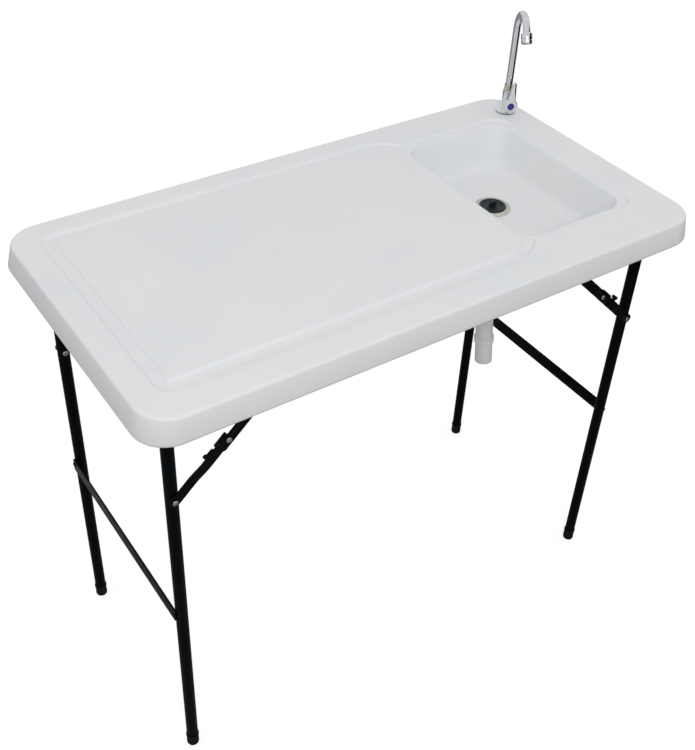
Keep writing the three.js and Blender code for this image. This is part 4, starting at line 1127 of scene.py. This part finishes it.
# %% Hang them, and note where their screws go
screw_places = []
for depth, end in sides:
    node = f"{depth}_{end}_pivot_saddle"
    middle, plate_under = centre(node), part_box(node)[1].z - saddle_plate
    bar_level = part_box(f"{end}_leg_frame")[1].z - leg_radius
    add_pressed(node, saddle_mesh(node, bar_level), Matrix.Translation((middle.x, middle.y, 0)))
    screw_places += [(middle.x, middle.y + sign * screw_spread, plate_under) for sign in (-1, 1)]
    node = f"{depth}_{end}_brace_bracket"
    pivot, foot_under = centre(f"{depth}_{end}_bracket_pin"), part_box(node)[1].z - link_thickness
    screw_y = (sum(depths(node)) + link_thickness) / 2
    side = outward(node)
    place = Matrix.Translation((pivot.x, 0, 0)) @ Matrix.Diagonal((1, side, 1, 1))
    add_pressed(node, bracket_mesh(node, pivot.z, screw_y), place)
    screw_places.append((pivot.x, side * screw_y, foot_under))
print("screws to set", len(screw_places))

# %% [markdown]
# Small fasteners repeat, so Geometry Nodes sets them: the tree puts one modelled fastener on every point,
# turns each by its own random angle from a fixed seed, up to a limit, and joins them to one mesh. The cross
# recess of the screw is pressed into a turned head.

# %% One pan head screw, upside down under the deck
screw_radius, screw_height = 4.6 * mm, 2.6 * mm
screw_shank, screw_length = 1.9 * mm, 8 * mm
recess_half, recess_depth = 0.55 * mm, 1.1 * mm


def screw_mesh():
    profile = [(radius, -level) for radius, level in reversed(dome(screw_radius, screw_height, 0, steps=8))]
    profile += [(screw_shank, 0), (screw_shank, screw_length), (0, screw_length)]
    mesh = turned("screw", profile, 32)
    for vertex in mesh.vertices:
        reach = math.hypot(vertex.co.x, vertex.co.y)
        off_cross = min(abs(vertex.co.x), abs(vertex.co.y))
        if vertex.co.z < -screw_height / 2 and reach < screw_radius * 0.62 and off_cross < recess_half:
            vertex.co.z += recess_depth
    return mesh


# %% The tree that sets fasteners
set_tree, given, result = geometry_tree("Set fasteners", [
    ("Fastener", "NodeSocketObject"), ("Seed", count_kind), ("Most Turn", float_kind),
    ("Finish", material_kind)])
pattern = set_tree.nodes.new("GeometryNodeObjectInfo")
place_all = set_tree.nodes.new("GeometryNodeInstanceOnPoints")
spin = set_tree.nodes.new("FunctionNodeRandomValue")
spin.data_type = "FLOAT_VECTOR"
spin.inputs["Min"].default_value = (0, 0, 0)
about_z = set_tree.nodes.new("ShaderNodeCombineXYZ")
realize = set_tree.nodes.new("GeometryNodeRealizeInstances")
paint = set_tree.nodes.new("GeometryNodeSetMaterial")
chain(set_tree, given, place_all, realize, paint, result)
set_tree.links.new(given.outputs["Fastener"], pattern.inputs["Object"])
set_tree.links.new(pattern.outputs["Geometry"], place_all.inputs["Instance"])
set_tree.links.new(given.outputs["Seed"], spin.inputs["Seed"])
set_tree.links.new(given.outputs["Most Turn"], about_z.inputs["Z"])
set_tree.links.new(about_z.outputs["Vector"], spin.inputs["Max"])
set_tree.links.new(spin.outputs["Value"], place_all.inputs["Rotation"])
set_tree.links.new(given.outputs["Finish"], paint.inputs["Material"])
print("fastener tree nodes", len(set_tree.nodes))


def set_fasteners(name, mesh, points, seed, most_turn, slot, node):
    """One mesh with a fastener on every point, riding on the body of a node."""
    holder = bpy.data.objects.new(name + "_pattern", mesh)
    bpy.context.scene.collection.objects.link(holder)
    result = grown(name, set_tree, {"Fastener": holder, "Seed": seed, "Most Turn": most_turn,
                                    "Finish": finishes[slot]}, points)
    bpy.data.objects.remove(holder)
    return dress(make_piece(name, result), node, slot, stands_for=False)


# %% Screws under the deck
set_fasteners("deck_screws", screw_mesh(), screw_places, 7, math.pi, "zinc_steel", "tabletop")
print("deck screws", len(screw_places))

# %% Rivet heads at the ends of the straps
strap_head_radius, strap_head_height, strap_head_root = 5 * mm, 1.6 * mm, 0.5 * mm
strap_head = [(0, -strap_head_root), (shank_radius, -strap_head_root), (shank_radius, 0)]
strap_head += dome(strap_head_radius, strap_head_height, 0)
for end, x_side in (("left", -1), ("right", 1)):
    low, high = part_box(f"{end}_cross_strap")
    face = high.x if x_side > 0 else -low.x
    head = turned("strap rivet", strap_head, 28)
    head.transform(upright(x_side))
    if x_side < 0:
        head.flip_normals()
    leg_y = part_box(f"{end}_leg_frame")[1].y - leg_radius
    points = [(x_side * face, sign * leg_y, (low.z + high.z) / 2) for sign in (-1, 1)]
    set_fasteners(f"{end}_strap_rivets", head, points, 3, 0.0, "black_steel", f"{end}_cross_strap")
    print(end, "strap rivets", len(points))

# %% [markdown]
# The drain is a cream plastic fitting clamped through the sink floor, with a dark plug lying in its seat.
# Below hang a slip nut and a white pipe in two lengths joined by a collar. All of them are turned, because a
# profile holds every step of such a fitting. The pipe leans a little, along the line between the two pipe
# solids of the frame.

# %% Drain body and gasket
drain_place = Matrix.Translation((drain_x, drain_y, 0))
low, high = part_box("drain_body")
flange = (high.x - low.x) / 2
flange_thickness, flange_draw, flange_edge, flange_slope = 3.8 * mm, 0.6 * mm, 1 * mm, 5 * mm
tail, tail_wall = 23 * mm, 3.6 * mm
bore, tail_clear = tail - tail_wall, tail + fit
seat_radius, seat_depth, seat_slope = 27 * mm, 1.6 * mm, 2 * mm
seat, flange_low = high.z - seat_depth, high.z - flange_thickness
body_radii = [0.8 * mm, 0.8 * mm, 0.5 * mm, 0.8 * mm, 1.4 * mm, 3 * mm, 1.2 * mm, 0.4 * mm, 1 * mm]
gasket_radius = 0.9 * mm
add_turned("drain_body", [
    (bore, low.z), (tail, low.z), (tail, flange_low), (flange, flange_low),
    (flange - flange_draw, high.z - flange_edge), (flange - flange_slope, high.z),
    (seat_radius + seat_slope, high.z), (seat_radius, seat), (bore, seat)],
    body_radii, drain_place, "drain_plastic", 72)


def add_washer(node, radii, slot, steps=64, wave=None):
    """A flat ring round the drain's tail, as tall and as wide as its solid."""
    low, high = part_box(node)
    outer = (high.x - low.x) / 2
    add_turned(node, [(tail_clear, low.z), (outer, low.z), (outer, high.z), (tail_clear, high.z)], radii,
               drain_place, slot, steps, wave)


add_washer("drain_gasket", gasket_radius, "black_rubber")
print("drain flange", round(flange, 4), "seat", round(seat, 4))

# %% Drain nut with eight lobes
low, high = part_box("drain_nut")
lobe_radius = (high.x - low.x) / 2
lobes, lobe_depth, lobe_wall = 8, 2.6 * mm, 3 * mm
nut_radii = [0.4 * mm, 1.4 * mm, 1.4 * mm, 0.4 * mm]


def lobed(radius, height, angle):
    """Draws the nut's outer wall in between its grips."""
    return 0 if radius < lobe_radius - lobe_wall else -lobe_depth * (0.5 - 0.5 * math.cos(lobes * angle)) ** 2


add_washer("drain_nut", nut_radii, "drain_plastic", 128, lobed)
print("drain nut lobes", lobes)

# %% The plug with its rim and handle
low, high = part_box("drain_plug")
plug_radius = (high.x - low.x) / 2
plug_thickness, stopper_depth = 3.2 * mm, 7 * mm
plug_rim, plug_dish, dish_slope = 4 * mm, 1.5 * mm, 1.6 * mm
plug_radii = [0, 1.5 * mm, 0.4 * mm, 0.4 * mm, 1.1 * mm, 1 * mm, 1 * mm, 0]
handle_half, handle_corner, handle_thickness = 8.5 * mm, 4 * mm, 5 * mm
handle_root, handle_edge = 0.5 * mm, 1 * mm
plug_low = seat + fit
plug_high = plug_low + plug_thickness
stopper_low, handle_low = plug_low - stopper_depth, plug_low + handle_root
disc = turned("plug disc", soften(
    [(0, stopper_low), (bore * 0.88, stopper_low), (bore - fit, plug_low), (plug_radius, plug_low),
     (plug_radius, plug_high), (plug_radius - plug_rim, plug_high),
     (plug_radius - plug_rim - dish_slope, plug_high - plug_dish), (0, plug_high - plug_dish)],
    plug_radii), 64)
outline = soften(rectangle(-handle_half, handle_half, handle_low, high.z), [0, 0, handle_corner, handle_corner],
                 closed=True)
handle = pressed("plug handle", outline, [], -handle_thickness / 2, handle_thickness / 2, handle_edge)
handle.transform(stand_up)
dress(make_piece("drain_plug_turned", united("plug", [disc, handle]), drain_place), "drain_plug",
      "plug_plastic")
print("plug", round(plug_radius, 4))

# %% The leaning pipes
pipe_run = (centre("upper_waste_pipe") - centre("lower_waste_pipe")).normalized()
lean = math.acos(pipe_run.z)
pipe_radius, pipe_bore = 19 * mm, 17 * mm
pipe_radii = [0.5 * mm, 1.6 * mm, 0.6 * mm, 0.4 * mm]


def leaning(at):
    return Matrix.Translation(at) @ pipe_run.to_track_quat("Z", "X").to_matrix().to_4x4()


for node in ("upper_waste_pipe", "lower_waste_pipe"):
    low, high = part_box(node)
    half = (high.z - low.z - 2 * pipe_radius * math.sin(lean)) / math.cos(lean) / 2
    add_turned(node, [(pipe_bore, -half), (pipe_radius, -half), (pipe_radius, half), (pipe_bore, half)],
               pipe_radii, leaning(centre(node)), "pipe_plastic", 56)
    print(node, "length", round(2 * half, 4))

# %% The collar on the pipe, with a groove round its middle
low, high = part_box("pipe_collar")
collar_outer, collar_bore = (high.x - low.x) / 2, pipe_radius + fit
collar_half, waist_outer, waist_inner, waist_depth = 7 * mm, 1.5 * mm, 1 * mm, 1 * mm
waist = collar_outer - waist_depth
collar_radii = [0.3 * mm, 1 * mm, 0.5 * mm, 0.5 * mm]
add_turned("pipe_collar", [
    (collar_bore, -collar_half), (collar_outer, -collar_half), (collar_outer, -waist_outer),
    (waist, -waist_inner), (waist, waist_inner), (collar_outer, waist_outer), (collar_outer, collar_half),
    (collar_bore, collar_half)],
    collar_radii + collar_radii[::-1], leaning(centre("pipe_collar")), "pipe_plastic", 56)
print("collar", round(collar_outer, 4))

# %% The slip nut with its grips
low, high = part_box("slip_nut")
slip_outer = (high.x - low.x) / 2
grips, grip_depth, grip_end, grip_skin = 24, 0.9 * mm, 4 * mm, 0.4 * mm
slip_chamfer, lip_width, lip_step = 1.5 * mm, 6 * mm, 3 * mm
lip_bore = slip_outer - lip_width


def gripped(radius, height, angle):
    """Shallow grip grooves down the outer wall of the slip nut."""
    on_wall = radius > slip_outer - grip_skin and low.z + grip_end < height < high.z - grip_end
    return -grip_depth * max(0, math.cos(grips * angle)) ** 2 if on_wall else 0


wall_shares = (0.1, 0.15, 0.5, 0.85, 0.9)
wall = [(slip_outer, low.z + share * (high.z - low.z)) for share in wall_shares]
foot_line = [(lip_bore, low.z), (slip_outer - slip_chamfer, low.z), (slip_outer, low.z + slip_chamfer)]
top_line = [(slip_outer, high.z - slip_chamfer), (slip_outer - slip_chamfer, high.z), (tail_clear, high.z),
            (tail_clear, low.z + lip_width), (lip_bore, low.z + lip_step)]
add_turned("slip_nut", foot_line + wall + top_line, None, drain_place, "pipe_plastic", 144, gripped)
print("slip nut", round(slip_outer, 4))

# %% [markdown]
# The faucet is chrome, so its shape shows in what it mirrors, and its profile needs more points than the
# other turned pieces. The body is turned, with a round boss for the lever. The lever is one smooth
# drop-shaped paddle whose wide end carries the blue cap. The spout is bent by the same tree as the legs.

# %% Sizes of the faucet
body_height, body_radius, body_draft, body_taper = 50 * mm, 11 * mm, 0.2 * mm, 7 * mm
foot_radius, foot_edge, ring_height = 20.5 * mm, 0.9 * mm, 1.4 * mm
flare_width, flare_low, flare_high = 2 * mm, 3.2 * mm, 5 * mm
column_radii = [0, 1 * mm, 0, 0.3 * mm, 0.8 * mm, 2 * mm, 1.5 * mm, 6 * mm, 1 * mm, 0.3 * mm, 0, 0]
boss_radius, boss_length, boss_edge = 10 * mm, 16.7 * mm, 0.8 * mm
spout_radius, socket_depth, ring_edge = 7.4 * mm, 12 * mm, 0.2 * mm
lever_heading, lever_level = math.radians(17.5), 19.8 * mm
low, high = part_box("faucet_body")
base = high.z - body_height
shank_bottom, faucet_shank = low.z - base, faucet_hole - fit
socket, socket_floor = spout_radius + fit, body_height - socket_depth
faucet_axis = Matrix.Translation((faucet_x, faucet_y, 0))
faucet_place = Matrix.Translation((faucet_x, faucet_y, base))
to_lever = Matrix.Translation((0, 0, lever_level)) @ Matrix.Rotation(-lever_heading, 4, "Z") @ stand_up
print("faucet stands at", round(base, 4))

# %% Faucet body and the black ring under its foot
column = soften(
    [(0, shank_bottom), (faucet_shank, shank_bottom), (faucet_shank, ring_height), (foot_radius, ring_height),
     (foot_radius, ring_height + foot_edge), (body_radius + flare_width, flare_low),
     (body_radius, flare_high), (body_radius, body_height - body_taper),
     (body_radius - body_draft, body_height), (socket, body_height), (socket, socket_floor), (0, socket_floor)],
    column_radii, steps=6)
boss = turned("boss", soften([(0, 0), (boss_radius, 0), (boss_radius, boss_length), (0, boss_length)],
                             [0, 0, boss_edge, 0]), 56)
boss.transform(to_lever)
dress(make_piece("faucet_body_turned", united("faucet body", [turned("column", column, 72), boss]),
                 faucet_place), "faucet_body", "chrome")
ring_line = soften([(faucet_hole, hair), (foot_radius, hair), (foot_radius, ring_height),
                    (faucet_hole, ring_height)], ring_edge, closed=True)
dress(make_piece("faucet_base_ring", turned("base ring", ring_line + ring_line[:1], 64), faucet_place),
      "faucet_body", "black_rubber", stands_for=False)
print("faucet body", body_height)

# %% The lever: half its width at every height
hub, root, tip, reach = 15.5 * mm, 11 * mm, 5.25 * mm, 48.75 * mm
lever_thickness, lever_edge, lever_tilt = 6 * mm, 1.8 * mm, math.radians(3)
lever_near = boss_length + fit
lever_far = lever_near + lever_thickness


def lever_half(y):
    """A round hub that flows into a tapered blade with a round tip."""
    round_hub = math.sqrt(max(hub * hub - y * y, 0))
    if y < 0:
        return round_hub
    past = max(y - reach, 0)
    blade = math.sqrt(max(tip * tip - past * past, 0)) if past else root + (tip - root) * y / reach
    return (round_hub ** 8 + blade ** 8) ** (1 / 8)


# %% Lever and index cap
quarter = [math.pi / 2 * i / 14 for i in range(15)]
levels = [-hub * math.cos(a) for a in quarter] + [reach * i / 24 for i in range(1, 24)]
levels += [reach + tip * math.sin(a) for a in quarter]
outline = [(lever_half(y), y) for y in levels] + [(-lever_half(y), y) for y in levels[-2:0:-1]]
paddle = pressed("lever", outline, [], lever_near, lever_far, lever_edge)
paddle.transform(Matrix.Rotation(-lever_tilt, 4, "Z"))
add_pressed("faucet_lever", paddle, faucet_place @ to_lever, "chrome")
cap_low, cap_radius, cap_wall, cap_crown, cap_edge = lever_far + fit, 7.5 * mm, 1 * mm, 1.6 * mm, 0.7 * mm
add_turned("index_cap", [(0, cap_low), (cap_radius, cap_low), (cap_radius, cap_low + cap_wall),
                         (0, cap_low + cap_crown)], [0, 0, cap_edge, 0], faucet_place @ to_lever,
           "blue_plastic", 40)
print("lever points", len(outline))


# %% Collar nut and the nut under the deck
def add_hexagon(node, corner, corner_radius, bore, edge, slot, look=None):
    low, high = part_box(node)
    outline = soften(circle(corner, 6), corner_radius, closed=True)
    add_pressed(node, pressed(node, outline, [hole(bore, 40)], low.z, high.z, edge), faucet_axis, slot, look)


upper_nut, upper_nut_corner, upper_nut_edge = 9.75 * mm, 1.2 * mm, 0.9 * mm
under_nut, under_nut_corner, under_nut_edge = 11 * mm, 0.8 * mm, 0.6 * mm
add_hexagon("spout_collar_nut", upper_nut, upper_nut_corner, socket, upper_nut_edge, "chrome", "worn_chrome")
add_hexagon("faucet_nut", under_nut, under_nut_corner, faucet_hole, under_nut_edge, "zinc_steel")
print("nuts", upper_nut, under_nut)

# %% The spout
spout_heading, spout_sweep = math.radians(29.4), math.radians(146.6)
spout_bend, spout_tip = 44.5 * mm, 6 * mm
spout_top = cad_high.z - hair
tangent = spout_bend * math.tan(spout_sweep / 2)
forward = Vector((-math.sin(spout_heading), -math.cos(spout_heading), 0))
foot = Vector((faucet_x, faucet_y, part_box("spout")[0].z))
corner = Vector((faucet_x, faucet_y, spout_top - spout_radius - spout_bend + tangent))
nozzle_run = forward * math.sin(spout_sweep) + Vector((0, 0, math.cos(spout_sweep)))
spout_end = corner + nozzle_run * (tangent + spout_tip)
dress(bent_tube("spout_tube", [foot, corner, spout_end], spout_radius, spout_bend, 40, "chrome"),
      "spout", "chrome")
print("spout ends at", [round(value, 4) for value in spout_end])

# %% The aerator, with a groove for its wrench
aerator_radius, aerator_length, aerator_bore = 11.3 * mm, 21 * mm, 4.5 * mm
shoulder_in, shoulder_down = 1.6 * mm, 1.4 * mm
band_from, band_to, band_slope, band_depth = 12 * mm, 14.8 * mm, 0.8 * mm, 0.7 * mm
end_draw, mouth_width, mouth_slope, mouth_depth = 0.4 * mm, 3 * mm, 1 * mm, 3 * mm
top, aerator_edge = spout_tip, 0.4 * mm
end = top - aerator_length
band = aerator_radius - band_depth
mouth = aerator_bore + mouth_width
aim = Matrix.Translation(spout_end) @ (-nozzle_run).to_track_quat("Z", "X").to_matrix().to_4x4()
add_turned("spout_aerator", [
    (socket, -fit), (aerator_bore, -fit), (aerator_bore, end + mouth_depth),
    (mouth - mouth_slope, end + mouth_depth), (mouth, end), (aerator_radius - end_draw, end),
    (aerator_radius, top - band_to), (band, top - band_to + band_slope),
    (band, top - band_from - band_slope), (aerator_radius, top - band_from),
    (aerator_radius, top - shoulder_down), (aerator_radius - shoulder_in, top), (socket, top)],
    aerator_edge, aim, "chrome", 56, rounding=3)
print("aerator", aerator_length)

# %% [markdown]
# The studio is a pale floor under an even white sky, with one large soft lamp in front. The floor and the
# sky look whiter to the camera, by the Light Path node, while the light that falls on the table stays at a
# plain level. Chrome under an even sky looks flat, so a dark card that only mirrors see stands to the right
# of the faucet.

# %% Camera, as solved from the photograph
frame_width, frame_height = 695, 750
view_azimuth, view_elevation, view_roll = (math.radians(angle) for angle in (36.280, 38.909, 3.262))
focal_pixels, sensor = 1088.02, 36
centre_x, centre_y = 356.62, 356.05
eye = Vector((-0.99553, -1.36116, 1.98950))
ahead = Vector((math.sin(view_azimuth) * math.cos(view_elevation),
                math.cos(view_azimuth) * math.cos(view_elevation), -math.sin(view_elevation)))
level_right = Vector((math.cos(view_azimuth), -math.sin(view_azimuth), 0))
level_up = level_right.cross(ahead)
right = level_right * math.cos(view_roll) + level_up * math.sin(view_roll)
up = level_up * math.cos(view_roll) - level_right * math.sin(view_roll)
camera_data = bpy.data.cameras.new("camera")
camera_data.sensor_width = sensor
camera_data.lens = focal_pixels / frame_height * camera_data.sensor_width
camera_data.shift_x = (frame_width / 2 - centre_x) / frame_height
camera_data.shift_y = (centre_y - frame_height / 2) / frame_height
camera = bpy.data.objects.new("camera", camera_data)
camera.matrix_world = Matrix.Translation(eye) @ Matrix((right, up, -ahead)).transposed().to_4x4()
bpy.context.scene.collection.objects.link(camera)
bpy.context.scene.camera = camera
print("lens", round(camera_data.lens, 2))


# %% Whiter where the camera looks
def seen_directly(tree):
    """1 for what the camera sees, and 0 for mirrored views and for the light that falls on things."""
    return tree.nodes.new("ShaderNodeLightPath").outputs["Is Camera Ray"]


world = bpy.data.worlds.new("studio")
bpy.context.scene.world = world
world.use_nodes = True
sky = world.node_tree
lit, shown = sky.nodes["Background"], sky.nodes.new("ShaderNodeBackground")
sky_tone, sky_strength = (0.975, 0.985, 1.0, 1), 0.71
lit.inputs["Color"].default_value = sky_tone
lit.inputs["Strength"].default_value = sky_strength
shown.inputs["Color"].default_value = (1, 1, 1, 1)
choose = sky.nodes.new("ShaderNodeMixShader")
sky.links.new(seen_directly(sky), choose.inputs["Fac"])
sky.links.new(lit.outputs["Background"], choose.inputs[1])
sky.links.new(shown.outputs["Background"], choose.inputs[2])
sky.links.new(choose.outputs["Shader"], sky.nodes["World Output"].inputs["Surface"])
print("sky", sky_strength)


# %% A flat sheet, for the floor and for the card
def sheet(name, half_wide, half_high, material, place=None):
    mesh = bpy.data.meshes.new(name)
    corners = ((-1, -1), (1, -1), (1, 1), (-1, 1))
    mesh.from_pydata([(x * half_wide, y * half_high, 0) for x, y in corners], [], [(0, 1, 2, 3)])
    if place is not None:
        mesh.transform(place)
    mesh.materials.append(material)
    piece = bpy.data.objects.new(name, mesh)
    bpy.context.scene.collection.objects.link(piece)
    piece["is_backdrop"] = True
    return piece


# %% Floor
floor_reach, floor_tone, floor_glow = 9.0, 0.34, 0.77
floor_material = bpy.data.materials.new("pale floor")
floor_material.use_nodes = True
tree = floor_material.node_tree
tree.nodes.remove(tree.nodes["Principled BSDF"])
matt, white = tree.nodes.new("ShaderNodeBsdfDiffuse"), tree.nodes.new("ShaderNodeEmission")
matt.inputs["Color"].default_value = (floor_tone, floor_tone, floor_tone, 1)
glow = tree.nodes.new("ShaderNodeMath")
glow.operation = "MULTIPLY"
glow.inputs[1].default_value = floor_glow
both = tree.nodes.new("ShaderNodeAddShader")
tree.links.new(seen_directly(tree), glow.inputs[0])
tree.links.new(glow.outputs["Value"], white.inputs["Strength"])
tree.links.new(matt.outputs["BSDF"], both.inputs[0])
tree.links.new(white.outputs["Emission"], both.inputs[1])
tree.links.new(both.outputs["Shader"], tree.nodes["Material Output"].inputs["Surface"])
sheet("floor", floor_reach, floor_reach, floor_material)
print("floor", 2 * floor_reach)


# %% The soft lamp
def aimed(place, target):
    return (Matrix.Translation(place)
            @ (Vector(place) - Vector(target)).to_track_quat("Z", "Y").to_matrix().to_4x4())


lamp_size, lamp_power, lamp_place = (1.5, 1.0), 44.5, (-1.45, -3.0, 3.7)
lamp_data = bpy.data.lights.new("front lamp", "AREA")
lamp_data.shape = "RECTANGLE"
lamp_data.size, lamp_data.size_y = lamp_size
lamp_data.energy = lamp_power
lamp = bpy.data.objects.new("front_lamp", lamp_data)
lamp.matrix_world = aimed(lamp_place, (0, 0, deck))
bpy.context.scene.collection.objects.link(lamp)
print("lamp", lamp_power)

# %% The dark card that the chrome mirrors
card_place, card_half, card_aim = (1.33, -0.53, 0.95), (0.6, 0.95), 120 * mm
card_material = bpy.data.materials.new("dark card")
card_material.use_nodes = True
card_shader = card_material.node_tree.nodes["Principled BSDF"]
card_shader.inputs["Base Color"].default_value = (0.008, 0.008, 0.008, 1)
card_shader.inputs["Specular IOR Level"].default_value = 0
card_target = (faucet_x, faucet_y, deck + card_aim)
card = sheet("right_card", *card_half, card_material, aimed(card_place, card_target))
card.visible_camera = False
card.visible_diffuse = False
card.visible_shadow = False
print("card", card_half)

# %% View settings, the two sizes and the end
bpy.context.scene.view_settings.view_transform = "Standard"
low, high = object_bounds()
print("cad", [round(v, 4) for v in (*cad_low, *cad_high)], "visual", [round(v, 4) for v in (*low, *high)])
